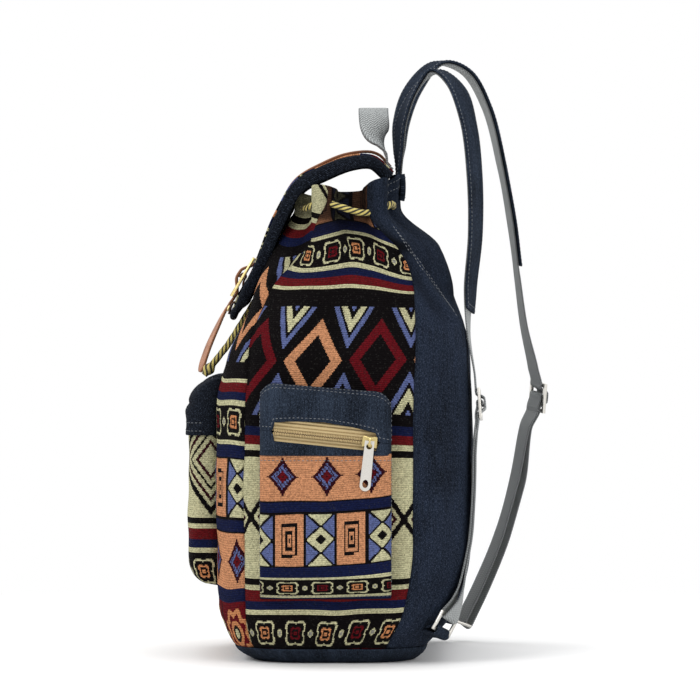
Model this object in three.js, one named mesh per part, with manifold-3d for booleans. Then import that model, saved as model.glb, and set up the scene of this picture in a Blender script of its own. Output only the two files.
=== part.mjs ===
// Canvas backpack with a drawcord neck, a buckled flap, three outer pockets and two shoulder straps.
// Millimetres, +Z up. The front faces -Y, the shoulder straps are on +Y, and +X is the wearer's right.
// The origin is on the floor, under the middle of the bag.
import * as THREE from "three";
import { mergeVertices } from "three/addons/utils/BufferGeometryUtils.js";
import Module from "manifold-3d";

const wasm = await Module();
wasm.setup();

// Clearance and cloth
const gap = 0.3;
const clothThickness = 2;

// Body: heights of its stations, then half width, front, back and corner radius at each
const baseHeight = 12.5;
const baseEdge = 5;
const baseFloorInset = 3;
const footHeight = 16;
const hipHeight = 45;
const bellyLow = 100;
const bellyHigh = 200;
const chestHeight = 250;
const shoulderHeight = 300;
const throatHeight = 340;
const neckHeight = 374;
const rimFront = 384;
const rimBack = 402;
const soleHalfWidth = 106;
const soleFront = -70;
const soleBack = 62;
const soleCorner = 46;
const footHalfWidth = 126;
const footFront = -88;
const footBack = 75;
const footCorner = 50;
const hipHalfWidth = 139;
const hipFront = -99;
const hipBack = 98;
const hipCorner = 55;
const bellyHalfWidth = 145;
const bellyFront = -101;
const bellyBack = 109;
const bellyCorner = 57;
const chestHalfWidth = 142;
const chestFront = -92;
const chestBack = 108;
const chestCorner = 57;
const shoulderHalfWidth = 128;
const shoulderFront = -64;
const shoulderBack = 96;
const shoulderCorner = 52;
const throatHalfWidth = 108;
const throatFront = -43;
const throatBack = 82;
const throatCorner = 44;
const neckHalfWidth = 97;
const neckFront = -30;
const neckBack = 47;
const neckCorner = 36;
const rimHalfWidth = 98;
const rimFrontFace = -27;
const rimBackFace = 46;
const rimCorner = 35;

// Seams between the panels, as shares of the way round from the front
const frontSeam = 0.156;
const backSeam = 0.32;

// Gathers at the neck
const pleatCount = 10;
const pleatDepth = 11;
const pleatStart = 268;
const frontEase = 0.55;
const backEase = 0.9;

// Drawcord
const cordDiameter = 5.5;
const cordHoleClearance = 0.5;
const cordStart = 0.05;
const cordBackInset = 6.5;
const knotDiameter = 10;

// Flap
const flapThickness = 1.6;
const flapLiningThickness = 1;
const flapBindingThickness = 1.2;
const flapBindingWidth = 6.5;
const flapEdgeInset = 3;
const flapSlotClearance = 1;

// Flap strap, buckle and chape
const flapStrapWidth = 18;
const flapStrapThickness = 2;
const flapStrapStart = 5;
const flapStrapTail = 52;
const buckleHeight = 313;
const buckleWidth = 30;
const buckleLength = 37;
const buckleBar = 3.2;
const buckleThickness = 2.4;
const chapeWidth = 30;
const chapeNeckWidth = 16;
const chapeThickness = 1.6;
const rivetDiameter = 6;
const rivetHeight = 1.6;
const rivetSpacing = 25;

// Grab handle
const handleWidth = 25;
const handleSpread = 27;
const handleHeight = 457;
const handleLean = 28.5;

// Shoulder straps
const webbingWidth = 24;
const webbingThickness = 1.6;
const facingWidth = 30;
const facingThickness = 1.8;
const facingLength = 330;
const strapSeat = 0.9;
const strapLayerGap = 0.6;
const neckTabHeight = 18;
const neckTabWidth = 34;
const neckTabThickness = 2;

// Strap hardware
const slotWidth = 26;
const hardwareBar = 3.2;
const hardwareThickness = 2.4;
const adjusterSlot = 7.8;
const adjusterHeight = 212;
const adjusterLead = 24;
const ringSlot = 11.4;
const ringTabThickness = 1.8;
const ringTabWidth = 22;
const ringTabLength = 60;
const ringTabRootX = 79.5;
const ringTabRootY = 37.2;
const ringTabRootHeight = 22;

// Front pocket
const frontPocketHalfWidth = 80;
const frontPocketBottom = 62;
const frontPocketTop = 233;
const frontPocketDepth = 25;
const frontHoodDrop = 47;
const frontHoodOverlap = 4;
const frontHoodStep = 2.4;
const frontHoodRound = 33;
const frontHoodCrown = 24;
const frontPocketPower = 7;

// Side pockets
const sidePocketFront = -64;
const sidePocketBack = 43;
const sidePocketBottom = 62;
const sidePocketTop = 226;
const sidePocketDepth = 20;
const sidePocketSeam = 171;
const sidePocketPower = 8;
const pocketRound = 20;

// Pocket zips
const zipHeight = 188;
const zipFall = 6;
const zipHalfLength = 45;
const zipEdgeRoom = 4;
const zipWindowHalfLength = 43;
const zipWindowDrop = 6.2;
const zipWindowArch = 4;
const zipSlit = 0.9;
const tapeThickness = 0.8;
const tapeWidth = 11;
const coilWidth = 1.5;
const coilThickness = 1.4;
const sliderRest = 36;
const sliderLength = 12;
const sliderWidth = 9;
const sliderPlate = 1.4;
const lugRadius = 2.8;
const lugThickness = 1.6;
const pullerLength = 40;
const pullerWidth = 9;
const pullerThickness = 1.8;
const pullerHole = 5;
const pullerEdge = 2;
const pullerEyeWall = 1.4;

// Mesh resolution
const frontColumns = 18;
const sideColumns = 12;
const backColumns = 20;
const pocketColumns = 16;
const cordSides = 8;

const backpack = new THREE.Group();

const vec = (x, y, z) => new THREE.Vector3(x, y, z);

// One closed solid from points and triangles, turned so that its faces point out.
function solidGeometry(points, triangles) {
  let volume = 0;
  for (const [a, b, c] of triangles) {
    volume += points[a].dot(points[b].clone().cross(points[c]));
  }
  const order = volume < 0 ? triangles.map(([a, b, c]) => [a, c, b]) : triangles;
  const geometry = new THREE.BufferGeometry();
  geometry.setFromPoints(points);
  geometry.setIndex(order.flat());
  return geometry;
}

// A loft through point loops of equal length, closed on itself or capped, by a fan where edges run straight.
function loft(loops, { closed = false, outline = null, fan = false } = {}) {
  const sides = loops[0].length;
  const points = loops.flat();
  const triangles = [];
  const spans = closed ? loops.length : loops.length - 1;
  for (let i = 0; i < spans; i++) {
    const next = (i + 1) % loops.length;
    for (let k = 0; k < sides; k++) {
      const along = (k + 1) % sides;
      const corner = [i * sides + k, i * sides + along, next * sides + along, next * sides + k];
      const [a, b, c, d] = k < sides / 2 ? corner : [corner[1], corner[2], corner[3], corner[0]];
      triangles.push([a, b, c], [a, c, d]);
    }
  }
  if (fan) {
    [loops[0], loops[loops.length - 1]].forEach((loop, end) => {
      const hub = points.length;
      points.push(loop.reduce((sum, p) => sum.add(p), vec(0, 0, 0)).divideScalar(sides));
      const first = end * (loops.length - 1) * sides;
      for (let k = 0; k < sides; k++) {
        const [a, b] = [first + k, first + ((k + 1) % sides)];
        triangles.push(end ? [hub, a, b] : [hub, b, a]);
      }
    });
  } else if (!closed) {
    const flat = outline ?? loops[0].map((_, k) => onCircle(1, turn(k / sides)));
    const last = (loops.length - 1) * sides;
    for (const [a, b, c] of THREE.ShapeUtils.triangulateShape(flat, [])) {
      triangles.push([a, c, b], [last + a, last + b, last + c]);
    }
  }
  return solidGeometry(points, triangles);
}

const turn = (share) => share * Math.PI * 2;
const onCircle = (r, angle) => new THREE.Vector2(r * Math.cos(angle), r * Math.sin(angle));

// A thin sheet between an outer and an inner surface, at(column share, level share, face).
function shell(columns, levels, at) {
  const rows = levels + 1;
  const points = [];
  for (let face = 0; face < 2; face++) {
    for (let i = 0; i <= columns; i++) {
      for (let j = 0; j <= levels; j++) points.push(at(i / columns, j, face));
    }
  }
  const index = (face, i, j) => (face * (columns + 1) + i) * rows + j;
  const triangles = [];
  const quad = (a, b, c, d) => triangles.push([a, b, c], [a, c, d]);
  for (let i = 0; i < columns; i++) {
    for (let j = 0; j < levels; j++) {
      quad(index(0, i, j), index(0, i + 1, j), index(0, i + 1, j + 1), index(0, i, j + 1));
      quad(index(1, i, j), index(1, i, j + 1), index(1, i + 1, j + 1), index(1, i + 1, j));
    }
    quad(index(0, i, 0), index(1, i, 0), index(1, i + 1, 0), index(0, i + 1, 0));
    quad(index(0, i, levels), index(0, i + 1, levels), index(1, i + 1, levels), index(1, i, levels));
  }
  for (let j = 0; j < levels; j++) {
    quad(index(0, 0, j), index(0, 0, j + 1), index(1, 0, j + 1), index(1, 0, j));
    const c = columns;
    quad(index(0, c, j), index(1, c, j), index(1, c, j + 1), index(0, c, j + 1));
  }
  return solidGeometry(points, triangles);
}

// A flat strip along centre points, with its width direction given at each point.
function ribbon(centres, widths, widthAt, thickness) {
  const loops = centres.map((centre, i) => {
    const ahead = centres[Math.min(i + 1, centres.length - 1)];
    const behind = centres[Math.max(i - 1, 0)];
    const along = ahead.clone().sub(behind).normalize();
    const across = widths[i].clone().addScaledVector(along, -widths[i].dot(along)).normalize();
    const normal = across.clone().cross(along);
    const half = widthAt(i / (centres.length - 1)) / 2;
    const corner = (a, b) => {
      const edge = centre.clone().addScaledVector(across, a * half);
      return edge.addScaledVector(normal, (b * thickness) / 2);
    };
    return [corner(1, 1), corner(-1, 1), corner(-1, -1), corner(1, -1)];
  });
  return loft(loops);
}

// A round tube along a smooth route.
function tube(route, radius, steps) {
  const ring = Array.from({ length: cordSides }, (_, k) => onCircle(radius, turn(k / cordSides)));
  const path = new THREE.CatmullRomCurve3(route);
  return new THREE.ExtrudeGeometry(new THREE.Shape(ring), { steps, bevelEnabled: false, extrudePath: path });
}

function toSolid(geometry) {
  const bare = geometry.clone();
  bare.deleteAttribute("normal");
  bare.deleteAttribute("uv");
  const merged = mergeVertices(bare, 1e-3);
  return new wasm.Manifold(
    new wasm.Mesh({
      numProp: 3,
      vertProperties: merged.attributes.position.array,
      triVerts: new Uint32Array(merged.index.array),
    }),
  );
}

function fromSolid(solid) {
  const mesh = solid.getMesh();
  const geometry = new THREE.BufferGeometry();
  geometry.setAttribute("position", new THREE.BufferAttribute(mesh.vertProperties, 3));
  geometry.setIndex(new THREE.BufferAttribute(mesh.triVerts, 1));
  return geometry;
}

const cut = (geometry, tool) => fromSolid(toSolid(geometry).subtract(toSolid(tool)));
const join = (geometry, other) => fromSolid(toSolid(geometry).add(toSolid(other)));

// Finishes: colour, roughness, metalness
const finishes = {
  denim: [0x232d41, 0.9, 0],
  wovenCloth: [0x6b4a44, 0.9, 0],
  lining: [0x16171c, 0.9, 0],
  webbing: [0x82878a, 0.8, 0],
  leather: [0x7d5538, 0.6, 0],
  cord: [0xc8b45a, 0.7, 0],
  tape: [0xd2b482, 0.85, 0],
  metal: [0xc9c3b0, 0.3, 1],
};

function add(name, geometry, finish) {
  const [color, roughness, metalness] = finishes[finish];
  const mesh = new THREE.Mesh(geometry, new THREE.MeshStandardMaterial({ color, roughness, metalness }));
  mesh.name = name;
  backpack.add(mesh);
}

// Stations of the body from the sole to the rim: height, half width, front, back, corner radius
const stations = [
  [0, soleHalfWidth, soleFront, soleBack, soleCorner],
  [footHeight, footHalfWidth, footFront, footBack, footCorner],
  [hipHeight, hipHalfWidth, hipFront, hipBack, hipCorner],
  [bellyLow, bellyHalfWidth, bellyFront, bellyBack, bellyCorner],
  [bellyHigh, bellyHalfWidth, bellyFront, bellyBack, bellyCorner],
  [chestHeight, chestHalfWidth, chestFront, chestBack, chestCorner],
  [shoulderHeight, shoulderHalfWidth, shoulderFront, shoulderBack, shoulderCorner],
  [throatHeight, throatHalfWidth, throatFront, throatBack, throatCorner],
  [neckHeight, neckHalfWidth, neckFront, neckBack, neckCorner],
  [rimBack, rimHalfWidth, rimFrontFace, rimBackFace, rimCorner],
];

// Smooth value of one station column at a height, with no overshoot between stations.
function atHeight(z, column) {
  const rise = (i) => {
    const [low, high] = [stations[i], stations[i + 1]];
    return (high[column] - low[column]) / (high[0] - low[0]);
  };
  const last = stations.length - 1;
  const slope = (i) => {
    if (i === 0) return rise(0);
    if (i === last) return rise(last - 1);
    const below = rise(i - 1);
    const above = rise(i);
    return below * above <= 0 ? 0 : (2 * below * above) / (below + above);
  };
  let i = 0;
  while (i < last - 1 && z > stations[i + 1][0]) i++;
  const span = stations[i + 1][0] - stations[i][0];
  const f = (z - stations[i][0]) / span;
  const start = stations[i][column];
  const end = stations[i + 1][column];
  const cubic = f * f * (3 - 2 * f);
  const bow = f * (1 - f) * ((1 - f) * slope(i) - f * slope(i + 1)) * span;
  return start + (end - start) * cubic + bow;
}

// Point of the plain body outline at share s of the way round, from the front by the right.
function outlinePoint(s, z) {
  const wrapped = s - Math.floor(s);
  const side = wrapped <= 0.5 ? 1 : -1;
  const [half, front, back, r] = [1, 2, 3, 4].map((column) => atHeight(z, column));
  const arc = (Math.PI * r) / 2;
  const edge = half - r;
  const flank = back - front - 2 * r;
  let way = (side > 0 ? wrapped : 1 - wrapped) * 2 * (2 * edge + 2 * arc + flank);
  if (way <= edge) return new THREE.Vector2(side * way, front);
  way -= edge;
  if (way <= arc) {
    const bend = onCircle(r, way / r);
    return new THREE.Vector2(side * (edge + bend.y), front + r - bend.x);
  }
  way -= arc;
  if (way <= flank) return new THREE.Vector2(side * half, front + r + way);
  way -= flank;
  if (way <= arc) {
    const bend = onCircle(r, way / r);
    return new THREE.Vector2(side * (edge + bend.x), back - r + bend.y);
  }
  return new THREE.Vector2(side * (edge - (way - arc)), back);
}

const frontShare = (s) => (1 + Math.cos(turn(s))) / 2;

// Depth of the gathers, easing out under the flap and along the back.
function pleat(s, z) {
  const rise = THREE.MathUtils.smoothstep(z, pleatStart, neckHeight);
  const ease = 1 - frontEase * frontShare(s) ** 3 - backEase * (1 - frontShare(s)) ** 4;
  return pleatDepth * rise * ease * Math.cos(turn(pleatCount * s));
}

function outward(s, z, point) {
  const step = 1e-3;
  const along = point(s + step, z).sub(point(s - step, z)).normalize();
  return new THREE.Vector2(along.y, -along.x);
}

const gatheredPoint = (s, z) => outlinePoint(s, z).addScaledVector(outward(s, z, outlinePoint), pleat(s, z));

// Point of the cloth, moved inward by inset.
function clothPoint(s, z, inset) {
  const p = gatheredPoint(s, z).addScaledVector(outward(s, z, gatheredPoint), -inset);
  return vec(p.x, p.y, z);
}

const rimHeight = (s) => rimFront + (rimBack - rimFront) * (1 - frontShare(s)) ** 2;

// Cord round the neck: outside the valleys of the gathers and inside their ridges
function cordRoute() {
  const count = 44;
  return Array.from({ length: count + 1 }, (_, i) => {
    const s = cordStart + ((1 - 2 * cordStart) * i) / count;
    const inset = cordBackInset * (1 - frontShare(s)) ** 6;
    const p = outlinePoint(s, neckHeight).addScaledVector(outward(s, neckHeight, outlinePoint), -inset);
    return vec(p.x, p.y, neckHeight);
  });
}

function buildBody() {
  const sewnBottom = baseHeight + gap;
  const levels = [sewnBottom, (footHeight + hipHeight) / 2, hipHeight, (hipHeight + bellyLow) / 2, bellyLow];
  levels.push(bellyHigh, (bellyHigh + chestHeight) / 2, chestHeight, (chestHeight + shoulderHeight) / 2);
  levels.push(shoulderHeight, (shoulderHeight + throatHeight) / 2, throatHeight);
  levels.push((throatHeight + neckHeight) / 2, neckHeight);
  const upper = 2;
  const heightAt = (s, j) => {
    if (j < levels.length) return levels[j];
    const share = (j - levels.length + 1) / upper;
    return neckHeight + (rimHeight(s) - neckHeight) * share;
  };
  const girth = 2 * (2 * bellyHalfWidth + bellyBack - bellyFront) - (8 - 2 * Math.PI) * bellyCorner;
  const seamShare = gap / 2 / girth;
  const cordHole = tube(cordRoute(), cordDiameter / 2 + cordHoleClearance, 88);
  const panel = (from, to, columns) => {
    const sheet = shell(columns, levels.length - 1 + upper, (u, j, face) => {
      const s = from + seamShare + (to - from - 2 * seamShare) * u;
      return clothPoint(s, heightAt(s, j), face * clothThickness);
    });
    return cut(sheet, cordHole);
  };
  add("front_panel", panel(-frontSeam, frontSeam, frontColumns), "wovenCloth");
  add("side_panel_right", panel(frontSeam, backSeam, sideColumns), "wovenCloth");
  add("back_panel", panel(backSeam, 1 - backSeam, backColumns), "denim");
  add("side_panel_left", panel(1 - backSeam, 1 - frontSeam, sideColumns), "wovenCloth");

  const columns = 48;
  const hoop = (z, inset) => Array.from({ length: columns }, (_, i) => clothPoint(i / columns, z, inset));
  const loops = [hoop(0, 0), hoop(baseEdge, 0), hoop(baseHeight, 0), hoop(baseHeight, clothThickness)];
  const floor = hoop(baseEdge, baseFloorInset).map((p) => p.setZ(clothThickness));
  add("base_panel", loft([...loops, floor], { fan: true }), "denim");
}

// Everything inside the body's outer face, grown by the clearance, to trim what is sewn against it
function bodyEnvelope(top) {
  const columns = 64;
  const rows = 12;
  const loops = [];
  for (let j = 0; j <= rows; j++) {
    const z = (top * j) / rows;
    loops.push(Array.from({ length: columns }, (_, i) => clothPoint(i / columns, z, -2 * gap)));
  }
  return loft(loops);
}

// Flap: its middle line and its edge line in the side view, and its half width along them
const flapMiddle = [
  [45.5, 404], [30, 419], [8, 419], [-14, 410], [-36, 396], [-51, 368], [-69, 326], [-83, 301], [-91, 281],
];
const flapEdge = [
  [45, 403], [28, 417], [8, 412], [-13, 402], [-33, 389], [-47, 362], [-66, 325], [-80, 300], [-88, 283],
];
const flapHalfWidth = [70, 82, 85, 86, 85, 79, 66, 46, 22];
const sideCurve = (points) => new THREE.CatmullRomCurve3(points.map(([y, z]) => vec(0, y, z)));
const flapMiddleCurve = sideCurve(flapMiddle);
const flapEdgeCurve = sideCurve(flapEdge);
const flapWidthCurve = new THREE.SplineCurve(flapHalfWidth.map((w, i) => new THREE.Vector2(i, w)));

const flapWidthAt = (t) => flapWidthCurve.getPoint(t).y;

function flapSurface(u, t) {
  const p = flapMiddleCurve.getPoint(t).lerp(flapEdgeCurve.getPoint(t), u * u);
  return p.setX(u * flapWidthAt(t));
}

function flapNormal(u, t) {
  const step = 2e-3;
  const t0 = Math.max(0, t - step);
  const t1 = Math.min(1, t + step);
  const along = flapSurface(u, t1).sub(flapSurface(u, t0));
  const across = flapSurface(u + step, t).sub(flapSurface(u - step, t));
  return across.cross(along).normalize().negate();
}

const flapPoint = (u, t, out) => flapSurface(u, t).addScaledVector(flapNormal(u, t), out);

function buildFlap() {
  const steps = 15;
  const length = flapMiddleCurve.getLength();
  const endShare = 1 - flapEdgeInset / length;
  const taperStep = 0.01;
  const sheet = (top, bottom) =>
    shell(8, steps, (u, j, face) => {
      const t = (endShare * j) / steps;
      const wider = flapWidthAt(Math.min(1, t + taperStep));
      const narrower = flapWidthAt(Math.max(0, t - taperStep));
      const taper = (wider - narrower) / (2 * taperStep * length);
      const reach = 1 - (flapEdgeInset * Math.hypot(1, taper)) / flapWidthAt(t);
      return flapPoint((2 * u - 1) * reach, t, face ? bottom : top);
    });
  const liningTop = -flapThickness - gap;
  const liningBottom = liningTop - flapLiningThickness;
  add("flap_panel", sheet(0, -flapThickness), "wovenCloth");
  add("flap_lining", sheet(liningTop, liningBottom), "lining");

  const upperLeg = flapSlotClearance + flapBindingThickness;
  const lowerSlot = liningBottom - flapSlotClearance;
  const lowerLeg = lowerSlot - flapBindingThickness;
  const wall = flapEdgeInset / 2;
  const outer = wall - flapBindingThickness;
  const outline = [
    [outer, lowerLeg],
    [flapBindingWidth, lowerLeg],
    [flapBindingWidth, lowerSlot],
    [wall, lowerSlot],
    [wall, flapSlotClearance],
    [flapBindingWidth, flapSlotClearance],
    [flapBindingWidth, upperLeg],
    [outer, upperLeg],
  ].map(([a, b]) => new THREE.Vector2(a, b));
  const rim = [];
  for (let j = 0; j <= steps; j++) rim.push([1, j / steps]);
  for (const u of [0.6, 0, -0.6]) rim.push([u, 1]);
  for (let j = steps; j >= 0; j--) rim.push([-1, j / steps]);
  const edgePoints = rim.map(([u, t]) => flapSurface(u, t));
  const loops = rim.map(([u, t], i) => {
    const ahead = edgePoints[Math.min(i + 1, rim.length - 1)];
    const behind = edgePoints[Math.max(i - 1, 0)];
    const along = ahead.clone().sub(behind).normalize();
    const normal = flapNormal(u, t);
    const inward = along.clone().cross(normal).normalize();
    if (inward.dot(flapSurface(0, 0.5).sub(edgePoints[i])) < 0) inward.negate();
    return outline.map((q) => {
      const leg = edgePoints[i].clone().addScaledVector(inward, q.x);
      return leg.addScaledVector(normal, q.y);
    });
  });
  add("flap_binding", loft(loops, { outline }), "denim");
}

// Share of the flap's length that lies before parameter t
function shareAlong(t) {
  const before = Array.from({ length: 101 }, (_, i) => flapMiddleCurve.getPoint((t * i) / 100));
  const way = before.slice(1).reduce((sum, p, i) => sum + p.distanceTo(before[i]), 0);
  return way / flapMiddleCurve.getLength();
}

// Place on the flap's middle line, where the buckle lies
function buckleFrame() {
  let t = 0.5;
  for (let i = 0; i < 40; i++) t += (flapMiddleCurve.getPoint(t).z - buckleHeight) * 1e-3;
  const origin = flapSurface(0, t);
  const down = flapMiddleCurve.getTangent(t);
  const out = flapNormal(0, t);
  const length = flapMiddleCurve.getLength();
  const start = shareAlong(t) * length;
  const onFlap = (l, q) => flapPoint(0, flapMiddleCurve.getUtoTmapping((start + l) / length), q);
  const at = (l, q) => origin.clone().addScaledVector(down, l).addScaledVector(out, q);
  return { end: length - start, start, length, down, out, at, onFlap };
}

// A flat frame with one window or two, centred on the origin, its windows stacked along Y
function frameShape(width, length, bar, windows) {
  const shape = new THREE.Shape();
  shape.moveTo(-width / 2, -length / 2);
  shape.lineTo(width / 2, -length / 2);
  shape.lineTo(width / 2, length / 2);
  shape.lineTo(-width / 2, length / 2);
  const slot = (length - bar * (windows + 1)) / windows;
  for (let k = 0; k < windows; k++) {
    const low = -length / 2 + bar + k * (slot + bar);
    const hole = new THREE.Path();
    hole.moveTo(-width / 2 + bar, low);
    hole.lineTo(-width / 2 + bar, low + slot);
    hole.lineTo(width / 2 - bar, low + slot);
    hole.lineTo(width / 2 - bar, low);
    shape.holes.push(hole);
  }
  return shape;
}

function frameGeometry(shape, thickness, origin, across, along) {
  const geometry = new THREE.ExtrudeGeometry(shape, { depth: thickness, bevelEnabled: false });
  geometry.translate(0, 0, -thickness / 2);
  const out = across.clone().cross(along);
  geometry.applyMatrix4(new THREE.Matrix4().makeBasis(across, along, out).setPosition(origin));
  return geometry;
}

function buildBuckle() {
  const place = buckleFrame();
  const across = vec(1, 0, 0);
  const chapeTop = gap + chapeThickness;
  const strapUnder = chapeTop + gap + flapStrapThickness / 2;
  const frameLow = strapUnder + flapStrapThickness / 2 + gap;
  const frameMid = frameLow + buckleThickness / 2;
  const frameTop = frameLow + buckleThickness;
  const shape = frameShape(buckleWidth, buckleLength, buckleBar, 2);
  const frame = frameGeometry(shape, buckleThickness, place.at(0, frameMid), across, place.down);
  add("buckle_frame", frame, "metal");

  // The chape lies on the flap's front end and is folded over the buckle's middle bar
  const halfChape = chapeThickness / 2;
  const hookLow = frameLow - gap - halfChape;
  const hookHigh = frameTop + gap + halfChape;
  const barHalf = buckleBar / 2;
  const hookBack = -barHalf - gap - halfChape;
  const overBinding = flapSlotClearance + flapBindingThickness + gap + halfChape;
  const endReach = place.end - 3;
  const onFlap = gap + halfChape;
  const chapeRoute = [
    [14, onFlap], [8, onFlap], [4, hookLow - 0.5], [barHalf, hookLow],
    [hookBack + 1.6, hookLow], [hookBack + 0.3, hookLow + 0.7], [hookBack, frameMid],
    [hookBack + 0.3, hookHigh - 0.7], [hookBack + 1.6, hookHigh], [barHalf, hookHigh],
  ];
  const chapeAt = (share) => (share < 0.15 ? chapeWidth : chapeNeckWidth);
  const chapeFoot = [[endReach, overBinding], [endReach - flapBindingWidth - 3, overBinding], [20, onFlap]];
  const chapeCentres = chapeFoot.map(([l, q]) => place.onFlap(l, q));
  chapeCentres.push(...chapeRoute.map(([l, q]) => place.at(l, q)));
  const chape = ribbon(chapeCentres, chapeCentres.map(() => across), chapeAt, chapeThickness);
  add("buckle_chape", chape, "leather");

  // The strap follows the flap, goes under the upper bar, over the middle one and under the lower one
  const strapCentres = [];
  const onCrown = gap + flapStrapThickness / 2;
  const upperBar = buckleLength / 2;
  const crownSteps = 16;
  for (let i = 0; i <= crownSteps; i++) {
    const first = flapStrapStart - place.start;
    strapCentres.push(place.onFlap(first + ((-upperBar - 14 - first) * i) / crownSteps, onCrown));
  }
  const overHook = hookHigh + halfChape + gap + flapStrapThickness / 2;
  const end = place.end;
  const tailRoute = [
    [-upperBar - 2, strapUnder], [-upperBar + buckleBar + 1.5, strapUnder],
    [-5.5, overHook - 0.6], [-3, overHook], [2.5, overHook], [5, overHook - 1],
    [upperBar - buckleBar - 1.5, strapUnder], [upperBar + 1, strapUnder],
    [upperBar + 8, strapUnder + 0.4], [end - 3, strapUnder + 0.6], [end + 12, strapUnder - 0.6],
    [end + 0.6 * flapStrapTail, strapUnder - 3], [end + flapStrapTail, strapUnder - 7.5],
  ];
  for (const [l, q] of tailRoute) strapCentres.push(place.at(l, q));
  const tip = (share) => (share > 0.99 ? flapStrapWidth * 0.5 : flapStrapWidth);
  const strap = ribbon(strapCentres, strapCentres.map(() => across), tip, flapStrapThickness);
  add("flap_strap", strap, "leather");

  const profile = [
    [0, 0],
    [rivetDiameter / 2, 0],
    [rivetDiameter / 2, rivetHeight / 2],
    [rivetDiameter / 4, rivetHeight],
    [0, rivetHeight],
  ].map(([r, h]) => new THREE.Vector2(r, h));
  for (const [name, side] of [["rivet_right", 1], ["rivet_left", -1]]) {
    const head = new THREE.LatheGeometry(profile, 12);
    const seatReach = endReach - (flapBindingWidth + 3) / 2;
    const seat = place.onFlap(seatReach, overBinding + halfChape + gap);
    const up = seat.clone().sub(place.onFlap(seatReach, 0)).normalize();
    seat.x = (side * rivetSpacing) / 2;
    const basis = new THREE.Matrix4().makeBasis(across, up, across.clone().cross(up));
    head.applyMatrix4(basis.setPosition(seat));
    add(name, head, "metal");
  }
}

function buildHandle() {
  const seat = gap + webbingThickness / 2;
  const half = [];
  for (const t of [0.012, 0.03, 0.05]) {
    const u = handleSpread / flapWidthAt(t);
    half.push(flapPoint(u, t, seat));
  }
  const foot = half[2];
  const rise = handleHeight - foot.z;
  const lean = handleLean - foot.y;
  const climb = [
    [1, 0.12, 0.05], [1.01, 0.24, 0.2], [1.02, 0.38, 0.5], [1.02, 0.55, 0.8],
    [0.93, 0.76, 0.95], [0.7, 0.92, 1], [0.35, 0.985, 1],
  ];
  for (const [spread, up, forward] of climb) {
    half.push(vec(handleSpread * spread, foot.y + lean * forward, foot.z + rise * up));
  }
  const mirror = half.map((p) => vec(-p.x, p.y, p.z)).reverse();
  const centres = [...half, vec(0, handleLean, handleHeight), ...mirror];
  const twist = centres.map((p) => {
    const share = THREE.MathUtils.smoothstep(p.z, foot.z + rise * 0.24, foot.z + rise * 0.76);
    const side = p.x < 0 ? -1 : 1;
    return vec(Math.cos((share * Math.PI) / 2), -side * Math.sin((share * Math.PI) / 2), 0);
  });
  for (let i = 0; i < twist.length; i++) {
    if (i > 0 && twist[i].dot(twist[i - 1]) < 0) twist[i].negate();
  }
  add("grab_handle", ribbon(centres, twist, () => handleWidth, webbingThickness), "webbing");
}

function buildDrawcord() {
  const route = cordRoute();
  add("drawcord", tube(route, cordDiameter / 2, route.length - 1), "cord");
  for (const [name, side] of [["right", 1], ["left", -1]]) {
    const end = side > 0 ? route[0] : route[route.length - 1];
    const points = [
      [21, -30.3, 373.8], [16, -33.4, 371.4], [12, -38.4, 365], [10, -44, 356], [9, -50, 345], [9, -58, 325],
      [9, -68.8, 300], [9, -78, 284], [9, -85.3, 272], [9, -93, 260], [9, -101.5, 249], [9, -107, 242],
    ];
    const tail = points.map(([x, y, z]) => vec(side * x, y, z));
    tail.unshift(vec(end.x - side * 1.5 * gap, end.y, neckHeight));
    add("cord_tail_" + name, tube(tail, cordDiameter / 2, 14), "cord");
    const last = tail[tail.length - 1];
    const drop = last.clone().sub(tail[tail.length - 2]).normalize();
    const radius = knotDiameter / 2;
    const flatReach = Math.sqrt(radius ** 2 - (cordDiameter / 2) ** 2);
    const profile = [new THREE.Vector2(0, -flatReach)];
    const first = Math.asin(-flatReach / radius);
    for (let k = 0; k <= 6; k++) {
      const rim = onCircle(radius, first + ((Math.PI / 2 - first) * k) / 6);
      profile.push(rim.setX(Math.max(0, rim.x)));
    }
    const knot = new THREE.LatheGeometry(profile, 10);
    const turned = new THREE.Quaternion().setFromUnitVectors(vec(0, 1, 0), drop);
    const centre = last.clone().addScaledVector(drop, flatReach + gap);
    knot.applyMatrix4(new THREE.Matrix4().makeRotationFromQuaternion(turned).setPosition(centre));
    add("cord_knot_" + name, knot, "cord");
  }
}

// Shoulder straps: route from the neck to the lower ring, as points and width directions
const neckFace = neckBack + strapSeat + facingThickness + strapLayerGap / 2;
const rightStrap = [
  [23, neckFace, 384, 1, 0],
  [23, neckFace, 404, 1, 0],
  [24, neckFace + 1.5, 424, 0.96, -0.28],
  [27, 54, 446, 0.9, -0.44],
  [35, 66, 472, 0.85, -0.53],
  [42, 82, 487, 0.85, -0.53],
  [52, 99, 475, 0.85, -0.53],
  [60, 110, 444, 0.85, -0.53],
  [66, 115, 400, 0.87, -0.5],
  [72, 115, 352, 0.9, -0.42],
  [80, 110.5, 306, 0.95, -0.3],
  [87, 110.5, 270, 1, -0.1],
  [92, 114, 238, 1, -0.02],
  [96, 116.5, 205, 1, -0.05],
  [100, 117.5, 170, 0.98, -0.15],
  [104, 116.5, 132, 0.95, -0.25],
  [108, 112.5, 95, 0.9, -0.4],
  [112, 104, 64, 0.85, -0.5],
  [115, 90.5, 39, 0.83, -0.55],
];
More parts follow.
